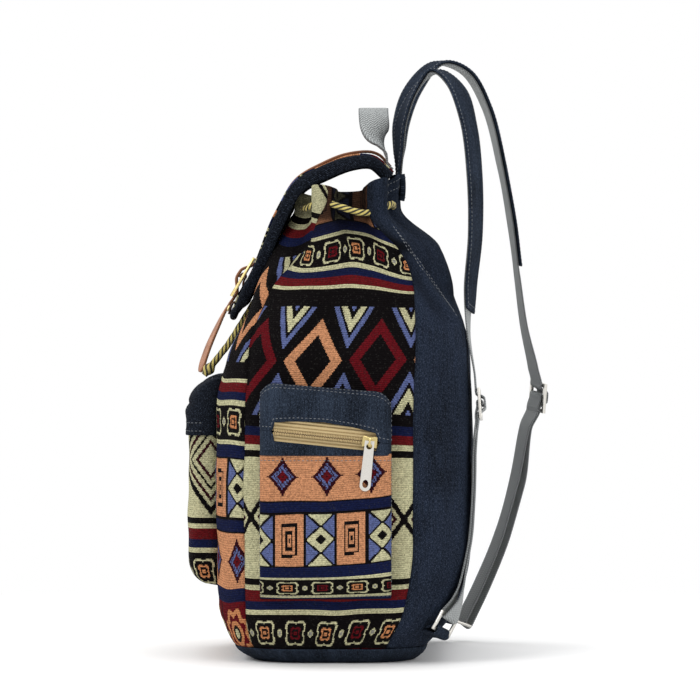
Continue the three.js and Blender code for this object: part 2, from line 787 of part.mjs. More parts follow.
const leftStrap = [
  [-23, neckFace, 384, 1, 0],
  [-23, neckFace, 404, 1, 0],
  [-24, neckFace + 1, 424, 0.96, 0.28],
  [-27, 53, 446, 0.9, 0.44],
  [-35, 63, 474, 0.85, 0.53],
  [-45, 83, 496, 0.85, 0.53],
  [-59, 107, 489, 0.85, 0.53],
  [-71, 125, 459, 0.85, 0.53],
  [-80, 139, 409, 0.85, 0.53],
  [-86, 147, 363, 0.86, 0.5],
  [-92, 153, 315, 0.88, 0.46],
  [-97, 159, 272, 0.9, 0.42],
  [-101, 167, 236, 0.92, 0.4],
  [-104, 170, 212, 0.93, 0.36],
  [-106, 162, 182, 0.94, 0.33],
  [-108, 153, 140, 0.95, 0.3],
  [-110, 139, 90, 0.95, 0.3],
  [-112, 121, 46, 0.94, 0.34],
  [-113, 107, 17, 0.93, 0.37],
];

function strapLine(points) {
  const curve = new THREE.CatmullRomCurve3(points.map(([x, y, z]) => vec(x, y, z)), false, "centripetal");
  curve.arcLengthDivisions = 800;
  const widths = points.map(([, , , wx, wy]) => vec(wx, wy, 0));
  const hints = new THREE.CatmullRomCurve3(widths, false, "centripetal");
  const length = curve.getLength();
  const frame = (l) => {
    const share = THREE.MathUtils.clamp(l / length, 0, 1);
    const param = curve.getUtoTmapping(share);
    const along = curve.getTangent(param);
    const across = hints.getPoint(param);
    across.addScaledVector(along, -across.dot(along)).normalize();
    return { centre: curve.getPoint(param), along, across, out: across.clone().cross(along) };
  };
  return { length, frame };
}

// Place on a strap at length l, moved outward, away from the inside of its arch
function strapPoint(line, l, out) {
  const { centre, along, across, out: normal } = line.frame(l);
  const over = Math.max(0, l - line.length);
  return { point: centre.addScaledVector(along, over).addScaledVector(normal, out), across };
}

// A strip on a strap, straight where it passes through the adjuster at length stiff
function strapRibbon(line, route, width, thickness, stiff = null) {
  const places = route.map(([l, out]) => {
    if (stiff === null || Math.abs(l - stiff) > adjusterSlot * 2) return strapPoint(line, l, out);
    const place = strapPoint(line, stiff, out);
    place.point.addScaledVector(line.frame(stiff).along, l - stiff);
    return place;
  });
  return ribbon(places.map((p) => p.point), places.map((p) => p.across), () => width, thickness);
}

function lengthAtHeight(line, z) {
  let l = line.length;
  while (line.frame(l).centre.z < z) l -= 0.5;
  return l;
}

function buildStrap(name, points, ringTilt, envelope) {
  const line = strapLine(points);
  const facingOut = strapLayerGap / 2 + facingThickness / 2;
  const webbingOut = -strapLayerGap / 2 - webbingThickness / 2;
  const steps = 30;
  const facing = Array.from({ length: steps + 1 }, (_, i) => [(facingLength * i) / steps, facingOut]);
  add("strap_facing_" + name, strapRibbon(line, facing, facingWidth, facingThickness), "denim");

  // The webbing is threaded through the adjuster, round the ring and back over the adjuster's middle bar
  const centre = lengthAtHeight(line, adjusterHeight);
  const barHalf = hardwareBar / 2;
  const pitch = adjusterSlot + hardwareBar;
  const layer = hardwareThickness / 2 + gap + webbingThickness / 2;
  const second = layer + webbingThickness + gap;
  const bight = Math.hypot(barHalf, hardwareThickness / 2) + gap + webbingThickness / 2;
  const bottom = line.length;
  const route = [];
  for (let i = 0; i <= steps; i++) route.push([(facingLength * i) / steps, webbingOut]);
  const bare = centre - adjusterLead - facingLength;
  for (const share of [0.33, 0.67, 1]) route.push([facingLength + bare * share, webbingOut]);
  route.push([centre - pitch - barHalf, -layer], [centre - pitch + barHalf + 0.4, -layer]);
  route.push([centre - 4.9, second - 0.3], [centre - 3.2, second]);
  route.push([centre + 2, second], [centre + 3.4, second]);
  route.push([centre + pitch - barHalf - 1, -layer], [centre + pitch + barHalf, -layer]);
  const run = bottom - centre - pitch;
  for (const share of [0.15, 0.3, 0.5, 0.7, 0.85]) {
    const shift = THREE.MathUtils.smoothstep(share, 0, 0.7);
    route.push([centre + pitch + run * share, -layer + (bight + layer) * shift]);
  }
  for (let k = 0; k <= 6; k++) {
    const angle = (Math.PI * k) / 6;
    route.push([bottom + bight * Math.sin(angle), bight * Math.cos(angle)]);
  }
  for (const share of [0.85, 0.7, 0.5, 0.3, 0.15]) {
    const shift = THREE.MathUtils.smoothstep(share, 0, 0.7);
    route.push([centre + pitch + run * share, -second + (second - bight) * shift]);
  }
  route.push([centre + pitch + barHalf, -second], [centre + pitch - barHalf, -second]);
  route.push([centre + 6, -layer - 1.2]);
  route.push([centre + 2, -layer], [centre - barHalf + 0.4, -layer], [centre - barHalf - 0.8, -layer + 0.5]);
  const hook = centre - barHalf - gap - webbingThickness / 2;
  route.push([hook, 0], [hook + 0.3, layer - 0.5], [hook + 1.6, layer], [centre + barHalf, layer]);
  const webbing = strapRibbon(line, route, webbingWidth, webbingThickness, centre);
  add("shoulder_webbing_" + name, webbing, "webbing");

  const at = line.frame(centre);
  const adjusterLength = 2 * adjusterSlot + 3 * hardwareBar;
  const width = slotWidth + 2 * hardwareBar;
  const adjusterShape = frameShape(width, adjusterLength, hardwareBar, 2);
  const adjuster = frameGeometry(adjusterShape, hardwareThickness, at.centre, at.across, at.along);
  add("strap_adjuster_" + name, adjuster, "metal");

  // The ring hangs on the webbing at one bar and on its cloth tab at the other
  const low = line.frame(bottom);
  const bar = low.centre;
  const ringLength = ringSlot + 2 * hardwareBar;
  const ringAlong = low.along.clone().applyAxisAngle(low.across, ringTilt);
  const reach = ringSlot + hardwareBar;
  const ringCentre = bar.clone().addScaledVector(ringAlong, reach / 2);
  const ringShape = frameShape(width, ringLength, hardwareBar, 1);
  const ring = frameGeometry(ringShape, hardwareThickness, ringCentre, low.across, ringAlong);
  add("lower_ring_" + name, ring, "metal");

  const tabBar = bar.clone().addScaledVector(ringAlong, reach);
  const inside = vec(Math.sign(bar.x) * ringTabRootX, ringTabRootY, ringTabRootHeight);
  const tabAlong = inside.sub(tabBar).normalize();
  const tabOut = tabAlong.clone().cross(low.across).normalize();
  const tabBight = Math.hypot(barHalf, hardwareThickness / 2) + 2 * gap + ringTabThickness / 2;
  const tabLayer = ringTabThickness / 2 + gap / 2;
  const tabRoute = [[ringTabLength, tabLayer], [16, tabLayer], [9, tabLayer + 0.6], [2, tabBight - 0.1]];
  for (let k = 0; k <= 6; k++) {
    const angle = (Math.PI * k) / 6;
    tabRoute.push([-tabBight * Math.sin(angle), tabBight * Math.cos(angle)]);
  }
  tabRoute.push([2, 0.1 - tabBight], [9, -tabLayer - 0.6], [16, -tabLayer], [ringTabLength, -tabLayer]);
  const onTab = (l, q) => tabBar.clone().addScaledVector(tabAlong, l).addScaledVector(tabOut, q);
  const tabCentres = tabRoute.map(([l, q]) => onTab(l, q));
  const tab = ribbon(tabCentres, tabCentres.map(() => low.across), () => ringTabWidth, ringTabThickness);
  add("ring_tab_" + name, cut(tab, envelope), "denim");

  // The strap's end is covered by a small tab at the back of the neck
  const tabFront = neckFace + strapLayerGap / 2 + webbingThickness + strapSeat;
  const neckTab = new THREE.BoxGeometry(neckTabWidth, neckTabThickness, neckTabHeight);
  neckTab.translate(points[0][0], tabFront + neckTabThickness / 2, points[0][2] + neckTabHeight / 2 - 2);
  add("neck_tab_" + name, neckTab, "denim");
}

// Face of a boxy pocket on the body: share runs across it, depth is how far it stands out
function pocketSection(share, halfWidth, depth, power) {
  const angle = (share - 0.5) * Math.PI;
  const across = Math.sign(angle) * halfWidth * Math.abs(Math.sin(angle)) ** (2 / power);
  return [across, depth * Math.max(0, Math.cos(angle)) ** (2 / power)];
}

const roundOff = (distance, radius) => {
  const inside = THREE.MathUtils.clamp(1 - distance / radius, 0, 1);
  return (1 - inside ** 2.4) ** (1 / 2.4);
};

// Sheet of a pocket between two heights; place turns (across, depth, height) into a point
function pocketSheet(heights, halfWidth, depth, thickness, power, swell, place) {
  return shell(pocketColumns, heights.length - 1, (u, j, face) => {
    const z = heights[j];
    const inner = (depth - thickness) * swell(z);
    const full = face ? inner : inner + thickness;
    const [across, out] = pocketSection(u, halfWidth - face * thickness, full, power);
    return place(across, out + gap, z);
  });
}

function spread(from, to, count) {
  return Array.from({ length: count + 1 }, (_, i) => from + ((to - from) * i) / count);
}

function buildFrontPocket() {
  const place = (across, out, z) => vec(across, atHeight(z, 2) - out, z);
  const hoodLow = frontPocketTop - frontHoodDrop;
  const faceTop = hoodLow + frontHoodOverlap;
  const foot = spread(frontPocketBottom, frontPocketBottom + pocketRound, 4);
  const faceHeights = [...foot, bellyLow, (bellyLow + bellyHigh) / 2, faceTop];
  const faceSwell = (z) => roundOff(z - frontPocketBottom, pocketRound);
  const sheet = (heights, halfWidth, depth, swell) =>
    pocketSheet(heights, halfWidth, depth, clothThickness, frontPocketPower, swell, place);
  const face = sheet(faceHeights, frontPocketHalfWidth, frontPocketDepth, faceSwell);
  add("front_pocket_face", face, "wovenCloth");

  const hoodDepth = frontPocketDepth + frontHoodStep;
  const hoodHalf = frontPocketHalfWidth + frontHoodStep;
  const crown = spread(frontPocketTop - frontHoodCrown, frontPocketTop, 5);
  const hoodHeights = [hoodLow, faceTop, frontPocketTop - frontHoodRound, ...crown];
  const hoodSwell = (z) => roundOff(frontPocketTop - z, frontHoodRound);
  add("front_pocket_hood", sheet(hoodHeights, hoodHalf, hoodDepth, hoodSwell), "denim");
}

// Outer face of the body's side at (y, z), for the right side
function sideFace(y, z) {
  const [half, front, back, r] = [1, 2, 3, 4].map((column) => atHeight(z, column));
  const past = Math.max(0, front + r - y, y - (back - r));
  return half - r + Math.sqrt(Math.max(0, r * r - past * past));
}

function buildSidePocket(name, side) {
  const middle = (sidePocketFront + sidePocketBack) / 2;
  const halfWidth = (sidePocketBack - sidePocketFront) / 2;
  const place = (across, out, z) => vec(side * (sideFace(middle + across, z) + out), middle + across, z);
  const swell = (z) => roundOff(Math.min(z - sidePocketBottom, sidePocketTop - z), pocketRound);
  const sheet = (heights) =>
    pocketSheet(heights, halfWidth, sidePocketDepth, clothThickness, sidePocketPower, swell, place);
  const foot = spread(sidePocketBottom, sidePocketBottom + pocketRound, 4);
  add("side_pocket_face_" + name, sheet([...foot, bellyLow, sidePocketSeam]), "wovenCloth");
  const crown = spread(sidePocketTop - pocketRound, sidePocketTop, 4);
  const hood = sheet([sidePocketSeam + gap, (sidePocketSeam + crown[0]) / 2, ...crown]);

  // Zip frame: p along the zip, q up across it, r out of the pocket
  const fall = THREE.MathUtils.degToRad(zipFall);
  const along = vec(0, Math.cos(fall), -Math.sin(fall));
  const up = vec(0, Math.sin(fall), Math.cos(fall));
  const out = vec(side, 0, 0);
  const innerDepth = sidePocketDepth - clothThickness;
  const edgeReach = zipHalfLength + zipEdgeRoom;
  const edgeShare = 0.5 + edgeAngle(edgeReach, halfWidth - clothThickness, sidePocketPower);
  const [, edgeDepth] = pocketSection(edgeShare, 1, innerDepth, sidePocketPower);
  const tapeFace = edgeDepth - gap;
  const origin = vec(side * (sideFace(middle, zipHeight) + gap), middle, zipHeight);
  const at = (p, q, r) => {
    const onTape = origin.clone().addScaledVector(along, p).addScaledVector(up, q);
    return onTape.addScaledVector(out, r);
  };
  const block = (p0, p1, q0, q1, r0, r1) =>
    loft([r0, r1].map((r) => [at(p0, q0, r), at(p1, q0, r), at(p1, q1, r), at(p0, q1, r)]));

  const windowEnd = zipWindowHalfLength;
  const window = [[-windowEnd, -zipWindowDrop], [windowEnd, -zipWindowDrop], [windowEnd, zipWindowDrop]];
  for (let k = 1; k < 8; k++) {
    const share = k / 8;
    window.push([windowEnd * (1 - 2 * share), zipWindowDrop + zipWindowArch * Math.sin(Math.PI * share)]);
  }
  window.push([-windowEnd, zipWindowDrop]);
  const outline = window.map(([p, q]) => new THREE.Vector2(p, q));
  const windowFaces = [tapeFace, sidePocketDepth + clothThickness];
  const opening = loft(windowFaces.map((r) => window.map(([p, q]) => at(p, q, r))), { outline });
  add("side_pocket_hood_" + name, cut(hood, opening), "denim");

  const half = zipHalfLength;
  const tapeBack = tapeFace - tapeThickness;
  const tapeEdge = zipSlit + tapeWidth;
  add("zip_tape_upper_" + name, block(-half, half, zipSlit, tapeEdge, tapeBack, tapeFace), "tape");
  add("zip_tape_lower_" + name, block(-half, half, -tapeEdge, -zipSlit, tapeBack, tapeFace), "tape");
  const coilLow = tapeFace + gap;
  const coilTop = coilLow + coilThickness;
  const coilHalf = windowEnd - gap;
  const coilEdge = zipSlit + coilWidth;
  add("zip_coil_upper_" + name, block(-coilHalf, coilHalf, zipSlit, coilEdge, coilLow, coilTop), "tape");
  add("zip_coil_lower_" + name, block(-coilHalf, coilHalf, -coilEdge, -zipSlit, coilLow, coilTop), "tape");

  // Slider: plates over and under the coils, a post in the slit, and a lug across the zip
  const plateLow = coilTop + gap;
  const plateTop = plateLow + sliderPlate;
  const backTop = tapeBack - gap;
  const p0 = sliderRest - sliderLength / 2;
  const p1 = sliderRest + sliderLength / 2;
  const post = zipSlit - gap;
  let slider = block(p0, p1, -sliderWidth / 2, sliderWidth / 2, plateLow, plateTop);
  slider = join(slider, block(p0, p1, -sliderWidth / 2, sliderWidth / 2, backTop - sliderPlate, backTop));
  slider = join(slider, block(sliderRest - 2, sliderRest + 2, -post, post, backTop - 0.2, plateLow + 0.2));
  const axis = plateTop + lugRadius;
  const lugLoops = [];
  for (let k = 0; k <= 8; k++) {
    const angle = (Math.PI * (8 - k)) / 8;
    const inner = onCircle(lugRadius, angle);
    const outer = onCircle(lugRadius + lugThickness, angle);
    const rooted = k === 0 || k === 8;
    const [r0, r1] = [inner, outer].map((q) => (rooted ? plateTop - 0.4 : axis + q.y));
    const [a, b] = [sliderRest - lugThickness / 2, sliderRest + lugThickness / 2];
    lugLoops.push([at(a, inner.x, r0), at(b, inner.x, r0), at(b, outer.x, r1), at(a, outer.x, r1)]);
  }
  slider = join(slider, loft(lugLoops));
  add("zip_slider_" + name, slider, "metal");

  // Puller: a plate whose upper edge lies inside the lug
  const plate = new THREE.Shape();
  const w = pullerWidth / 2;
  const topReach = pullerEdge / 2;
  const topHalf = pullerHole / 2 + pullerEyeWall;
  plate.moveTo(-topHalf, topReach);
  plate.lineTo(-topHalf, -pullerHole - topReach);
  plate.lineTo(-w, -pullerLength + w);
  plate.absarc(0, -pullerLength + w, w, Math.PI, Math.PI * 2, false);
  plate.lineTo(topHalf, -pullerHole - topReach);
  plate.lineTo(topHalf, topReach);
  const eye = new THREE.Path();
  eye.absarc(0, -topReach - pullerHole / 2, pullerHole / 2, 0, Math.PI * 2, true);
  const slot = new THREE.Path();
  slot.absellipse(0, -pullerLength + w + 1.5, w * 0.55, w * 0.75, 0, Math.PI * 2, true);
  plate.holes.push(eye, slot);
  const plateStyle = { depth: pullerThickness, bevelEnabled: false, curveSegments: 6 };
  const puller = new THREE.ExtrudeGeometry(plate, plateStyle);
  puller.translate(0, 0, -pullerThickness / 2);
  const across = along.clone().multiplyScalar(side);
  puller.applyMatrix4(new THREE.Matrix4().makeBasis(across, up, out).setPosition(at(sliderRest, 0, axis)));
  add("zip_puller_" + name, puller, "metal");
}

// Share of the section's angle at which the pocket's half width is reached
function edgeAngle(across, halfWidth, power) {
  return Math.asin((across / halfWidth) ** (power / 2)) / Math.PI;
}

buildBody();
buildDrawcord();
buildFlap();
buildBuckle();
buildHandle();
const envelope = bodyEnvelope(bellyLow);
buildStrap("right", rightStrap, 0, envelope);
buildStrap("left", leftStrap, -1.5, envelope);
buildFrontPocket();
buildSidePocket("right", 1);
buildSidePocket("left", -1);

export default backpack;
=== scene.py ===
# Patterned cloth backpack: looks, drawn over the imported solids
import math

import bmesh
import bpy
from mathutils import Matrix, Vector, noise


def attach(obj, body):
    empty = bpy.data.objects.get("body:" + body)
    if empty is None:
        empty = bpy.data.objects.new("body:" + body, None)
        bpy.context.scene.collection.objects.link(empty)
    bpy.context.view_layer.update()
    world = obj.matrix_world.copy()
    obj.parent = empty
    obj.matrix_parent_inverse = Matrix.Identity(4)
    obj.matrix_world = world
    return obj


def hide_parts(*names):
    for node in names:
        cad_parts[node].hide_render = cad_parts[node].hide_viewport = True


mm = 0.001
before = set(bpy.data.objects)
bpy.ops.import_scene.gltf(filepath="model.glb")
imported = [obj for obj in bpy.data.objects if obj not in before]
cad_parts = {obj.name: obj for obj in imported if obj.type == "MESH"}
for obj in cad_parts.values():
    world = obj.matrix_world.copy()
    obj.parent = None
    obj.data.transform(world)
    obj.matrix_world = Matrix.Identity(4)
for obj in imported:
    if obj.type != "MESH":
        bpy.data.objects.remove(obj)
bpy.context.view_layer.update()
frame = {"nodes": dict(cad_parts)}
nodes = frame["nodes"]
print("solids loaded:", len(nodes))

# camera, square to the bag's right side and hardly above its middle; angles in degrees
view = {"target": (0.0, 0.0088, 0.2545), "turn": -0.2, "height": 1.5, "distance": 4.5, "across": 0.5885,
        "sensor": 36}
turnAngle = math.radians(view["turn"])
heightAngle = math.radians(view["height"])
toCamera = Vector((math.cos(turnAngle) * math.cos(heightAngle),
                   -math.sin(turnAngle) * math.cos(heightAngle), math.sin(heightAngle)))
lens = bpy.data.cameras.new("photoCamera")
lens.sensor_width = view["sensor"]
lens.lens = view["sensor"] * view["distance"] / view["across"]
lens.clip_end = 20
camera = bpy.data.objects.new("photoCamera", lens)
camera.location = Vector(view["target"]) + toCamera * view["distance"]
camera.rotation_euler = toCamera.to_track_quat("Z", "Y").to_euler()
bpy.context.scene.collection.objects.link(camera)
bpy.context.scene.camera = camera
bpy.context.scene.view_settings.view_transform = "Standard"


class Wire:  # a shader socket that can be added, multiplied and compared
    def __init__(self, finish, socket):
        self.finish = finish
        self.socket = socket

    def maths(self, operation, *others):
        return self.finish.maths(operation, self, *others)

    def __add__(self, other):
        return self.maths("ADD", other)

    def __radd__(self, other):
        return self.finish.maths("ADD", other, self)

    def __sub__(self, other):
        return self.maths("SUBTRACT", other)

    def __rsub__(self, other):
        return self.finish.maths("SUBTRACT", other, self)

    def __mul__(self, other):
        return self.maths("MULTIPLY", other)

    def __rmul__(self, other):
        return self.finish.maths("MULTIPLY", other, self)

    def __truediv__(self, other):
        return self.maths("DIVIDE", other)

    def __mod__(self, other):
        return self.maths("FLOORED_MODULO", other)

    def __lt__(self, other):
        return self.maths("LESS_THAN", other)

    def __gt__(self, other):
        return self.maths("GREATER_THAN", other)

    def __and__(self, other):  # both masks
        return self.maths("MULTIPLY", other)

    def __or__(self, other):  # either mask
        return self.maths("MAXIMUM", other)

    def __abs__(self):
        return self.maths("ABSOLUTE")


def paint(red, green, blue):  # colour as picked on a screen, 0 to 255
    def linear(level):
        level /= 255
        return level / 12.92 if level <= 0.04045 else ((level + 0.055) / 1.055) ** 2.4
    return (linear(red), linear(green), linear(blue), 1)


class Finish:  # a material and its nodes
    def __init__(self, name, tree=None):
        if tree is None:
            self.material = bpy.data.materials.new(name)
            self.material.use_nodes = True
            tree = self.material.node_tree
            self.shader = tree.nodes["Principled BSDF"]
        self.tree = tree

    def feed(self, socket, value):
        if isinstance(value, Wire):
            self.tree.links.new(value.socket, socket)
        else:
            socket.default_value = value

    def node(self, kind, settings=None, inputs=None, output=0):
        made = self.tree.nodes.new(kind)
        for key, value in (settings or {}).items():
            setattr(made, key, value)
        for key, value in (inputs or {}).items():
            self.feed(made.inputs[key], value)
        return Wire(self, made.outputs[output]) if output is not None else None

    def maths(self, operation, *values):
        return self.node("ShaderNodeMath", {"operation": operation}, dict(enumerate(values)))

    def mix(self, first, second, factor, blend="MIX"):
        settings = {"data_type": "RGBA", "blend_type": blend}
        return self.node("ShaderNodeMix", settings, {0: factor, 6: first, 7: second}, 2)

    def dim(self, colour, tone):
        return self.mix(colour, self.join(tone, tone, tone), 1.0, "MULTIPLY")

    def place(self):  # object coordinates, metres
        return self.node("ShaderNodeTexCoord", output="Object")

    def cloth(self):  # the piece's own cloth map, in millimetres
        flat = self.node("ShaderNodeUVMap", {"uv_map": "cloth"})
        return [self.node("ShaderNodeSeparateXYZ", {}, {0: flat}, k) * 1000 for k in range(2)]

    def shadow(self):  # painted shade from the shadow map: darkest where the cloth lies deep in a fold
        return self.node("ShaderNodeSeparateXYZ", {}, {0: self.node("ShaderNodeUVMap", {"uv_map": "shadow"})})

    def join(self, x, y, z=0.0):
        return self.node("ShaderNodeCombineXYZ", {}, {0: x, 1: y, 2: z})

    def speckle(self, vector, scale, detail=3.0, roughness=0.55):
        inputs = {"Vector": vector, "Scale": scale, "Detail": detail, "Roughness": roughness}
        return self.node("ShaderNodeTexNoise", {}, inputs)

    def ramp(self, value, low, high, start=0.0, end=1.0):
        inputs = {"Value": value, "From Min": low, "From Max": high, "To Min": start, "To Max": end}
        return self.node("ShaderNodeMapRange", {"clamp": True}, inputs)

    def bump(self, height, distance):
        normal = self.node("ShaderNodeBump", {}, {"Height": height, "Distance": distance, "Strength": 1.0})
        self.feed(self.shader.inputs["Normal"], normal)

    def set(self, **sockets):
        for key, value in sockets.items():
            self.feed(self.shader.inputs[key.replace("_", " ").title().replace("Ior", "IOR")], value)


def wave(finish, value, period):  # -1 to 1
    return finish.maths("SINE", value * (2 * math.pi / period))


def cell(value, period, shift=0.0):  # distance from the middle of its cell, and odd cells as 1
    share = (value + shift) / period
    return abs(share % 1.0 - 0.5) * period, (share.maths("FLOOR") % 2.0) > 0.5


# woven cloth: one repeat of bands from the bottom up, heights in mm
clothDesign = {
    "stair": 1.0,
    "bands": [(27, "flowers"), (1.5, "black"), (4, "cream"), (7, "navy"), (9, "red"), (4.5, "cream"), (5, "black"),
              (96, "lattice"), (6, "black"), (5, "cream"), (7.5, "red"), (8, "navy"), (114, "chevrons"),
              (4.5, "black"), (3, "cream"), (6.5, "red"), (6.5, "navy"), (3.5, "cream"), (24, "flowers"),
              (3, "cream"), (9, "navy"), (1.5, "black"), (42, "blocks"), (1.5, "black"), (8, "navy"), (1.5, "black"),
              (39, "diamonds"), (10, "navy"), (47, "rosettes")],
    "repeats": {"flowers": 28.5, "lattice": 63, "chevrons": 55, "blocks": 25.25, "diamonds": 36.0, "rosettes": 44},
    "colours": {"cream": paint(201, 197, 157), "navy": paint(21, 28, 62), "red": paint(100, 22, 26),
                "black": paint(14, 11, 12), "peach": paint(206, 144, 104), "crimson": paint(98, 17, 25),
                "periwinkle": paint(94, 105, 152), "orange": paint(206, 138, 92), "maroon": paint(50, 13, 22),
                "ash": paint(150, 148, 140)},
}
ink = clothDesign["colours"]


def layers(finish, ground, *steps):  # each (colour, mask) laid over the ones before; names stand for inks
    ground = ink.get(ground, ground)
    for colour, mask in steps:
        ground = finish.mix(ground, ink.get(colour, colour), mask)
    return ground


def ring(value, low, high):  # 1 between the two values
    return (value > low) & (value < high)


def flowers(f, u, up, wide, tall):
    du, odd = cell(u, wide)
    dv = abs(up - tall / 2)
    x, y = du / 9.6, dv / (tall * 0.42)
    form = 1 - f.maths("COSINE", y.maths("ARCTAN2", x) * 4) * 0.16
    petal = (x * x + y * y).maths("SQRT") / form
    side = (wide / 2 - du) / 2.2
    bead = (side * side + dv * dv / 11).maths("SQRT")
    heart = f.mix(ink["crimson"], ink["orange"], odd)
    return layers(f, "black", ("cream", ring(petal, 0.83, 1.0)), (heart, petal < 0.5),
                  ("black", ring(petal, 0.17, 0.32)), (heart, petal < 0.14), ("cream", bead < 1.0),
                  ("ash", bead < 0.6))


def lattice(f, u, up, wide, tall):
    dv = abs(up - tall / 2)
    slope = (wide / 2 - cell(u, wide, -11.8)[0]) * 1.36
    line = abs(dv - slope)
    inside = dv < slope
    return layers(f, "cream", ("maroon", inside & ring(line, 8, 12)), ("black", line < 3.3),
                  ("black", inside & ring(line, 17.5, 20.5)), ("maroon", inside & ring(line, 26, 30)))


def chevrons(f, u, up, wide, tall):
    du, odd = cell(u, wide)
    dv = abs(up - tall / 2)
    gem = du / 24.5 + dv / 37
    climb = dv - 10 - (wide / 2 - du) * 1.9
    low = dv < 47
    face = f.mix(ink["peach"], ink["crimson"], odd)
    return layers(f, "black", (face, gem < 1.0), ("black", gem < 0.62),
                  ("periwinkle", low & ring(climb, 0, 9)), ("cream", low & ring(climb, 13.5, 24.5)),
                  ("periwinkle", low & (climb > 32)))


def blocks(f, u, up, wide, tall):
    du, odd = cell(u, wide)
    dv = abs(up - tall / 2)
    gem = du / 10.8 + dv / 10.4
    hood = dv - 10.4 - du * 0.98
    blue = layers(f, "periwinkle", ("black", abs(hood) < 1.4), ("cream", hood > 1.1),
                  ("black", gem < 1.2), ("cream", gem < 1.0), ("black", gem < 0.42))
    side = (du / 6.2).maths("MAXIMUM", dv / 14.2)
    inner = (du / 2.9).maths("MAXIMUM", dv / 8.4)
    step = (up < tall / 2 - 12.2) & ((u / wide) % 1.0 > 0.6)
    peach = layers(f, "peach", ("black", ring(side, 0.80, 1.0)), ("peach", step),
                   ("black", ring(inner, 0.62, 1.0)), ("black", inner < 0.28))
    return layers(f, f.mix(blue, peach, odd), ("black", du > 11.6))


def diamonds(f, u, up, wide, tall):
    du = cell(u, wide)[0]
    dv = abs(up - tall / 2)
    gem = (du / 12.6).maths("POWER", 0.86) + (dv / 16.2).maths("POWER", 0.86)
    dots = wave(f, u + up * 0.7, 3.2) > -0.55
    return layers(f, "peach", ("maroon", gem < 1.0), ("periwinkle", ring(gem, 0.44, 0.76) & dots),
                  ("crimson", gem < 0.40), ("maroon", gem < 0.12))


def rosettes(f, u, up, wide, tall):
    du, odd = cell(u, wide)
    dv = abs(up - tall / 2)
    reach = (du * du + dv * dv).maths("SQRT")
    petal = reach + f.maths("COSINE", dv.maths("ARCTAN2", du) * 8) * 1.8
    rim = f.mix(ink["cream"], ink["orange"], odd)
    return layers(f, "crimson", (rim, petal < 18), ("crimson", petal < 13.5), ("orange", reach < 10),
                  ("black", reach < 6.4), ("cream", reach < 3.6), ("black", du > 20.6),
                  ("cream", abs(du - 20.9) + dv < 2.4))


def makeWovenCloth():
    f = Finish("wovenCloth")
    u, v = f.cloth()
    stair = clothDesign["stair"]
    us = ((u / stair).maths("FLOOR") + 0.5) * stair
    up = ((v / stair).maths("FLOOR") + 0.5) * stair % sum(tall for tall, kind in clothDesign["bands"])
    motifs = {"flowers": flowers, "lattice": lattice, "chevrons": chevrons, "blocks": blocks,
              "diamonds": diamonds, "rosettes": rosettes}
    colour, start = None, 0
    for tall, kind in clothDesign["bands"]:
        wide = clothDesign["repeats"].get(kind)
        band = motifs[kind](f, us, up - start, wide, tall) if wide else ink[kind]
        colour = band if colour is None else f.mix(colour, band, up > start)
        start += tall
    yarn = f.node("ShaderNodeTexWhiteNoise", {"noise_dimensions": "2D"}, {"Vector": f.join(us, up)})
    flat = f.join(u, v)
    rib = wave(f, v, 1.7)
    thread = wave(f, u, 1.0)
    cloudy = f.speckle(flat, 0.5, 3, 0.7)
    soil = f.speckle(flat, 0.025, 4)
    shade = 0.62 + yarn * 0.40 + rib * 0.15 + thread * 0.06 + f.ramp(soil, 0.3, 0.7, -0.05, 0.07)
    shade = shade + f.ramp(cloudy, 0.3, 0.7, -0.16, 0.16)
    colour = f.dim(colour, shade)
    colour = f.mix(colour, ink["black"], (yarn > 0.86) * 0.42)
    colour = f.mix(colour, ink["ash"], (yarn < 0.06) * 0.035)
    # painted shade: the cloth turns near black where the shadow map is high
    colour = f.mix(colour, paint(12, 10, 12), f.shadow())
    f.set(base_color=colour, roughness=0.95, specular_ior_level=0.05)
    lumps = f.speckle(flat, 0.9, 2)
    f.bump(rib * 0.6 + thread * 0.4 + lumps + yarn * 0.3, 0.0003)
    return f.material


def makeDenim(name, deep, faded, streak=1.0):
    f = Finish(name)
    u, v = f.cloth()
    twill = wave(f, u * 1.2 + v * 0.8, 1.4)
    wash = f.speckle(f.join(u, v), 0.018, 5, 0.6)
    streaks = f.speckle(f.join(u * 0.9, v * 0.05), 1.0, 3, 0.6)
    flecks = f.speckle(f.join(u * 1.5, v * 0.45), 1.0, 3, 0.7)
    rubbed = f.ramp(f.speckle(f.join(u * 0.05, v * 0.008), 1.0, 4), 0.42, 0.7, 0.0, 0.16)
    fade = f.ramp(wash * 0.5 + streaks * 0.5 * streak + rubbed, 0.40, 0.74)
    colour = f.mix(deep, faded, fade * f.ramp(flecks, 0.3, 0.65, 0.35, 1.0))
    weft = f.ramp(twill, 0.2, 1.0) * f.ramp(flecks, 0.46, 0.66)
    colour = f.mix(colour, paint(104, 116, 138), weft * 0.55)
    # painted shade: the denim turns near black where the shadow map is high
    colour = f.mix(colour, paint(8, 9, 12), f.shadow())
    f.set(base_color=colour, roughness=0.95, specular_ior_level=0.06)
    creases = f.speckle(f.join(u * 0.09, v * 0.03), 1.0, 4)
    f.bump(twill * 0.5 + flecks * 0.9 + creases * 3.0, 0.0003)
    return f.material


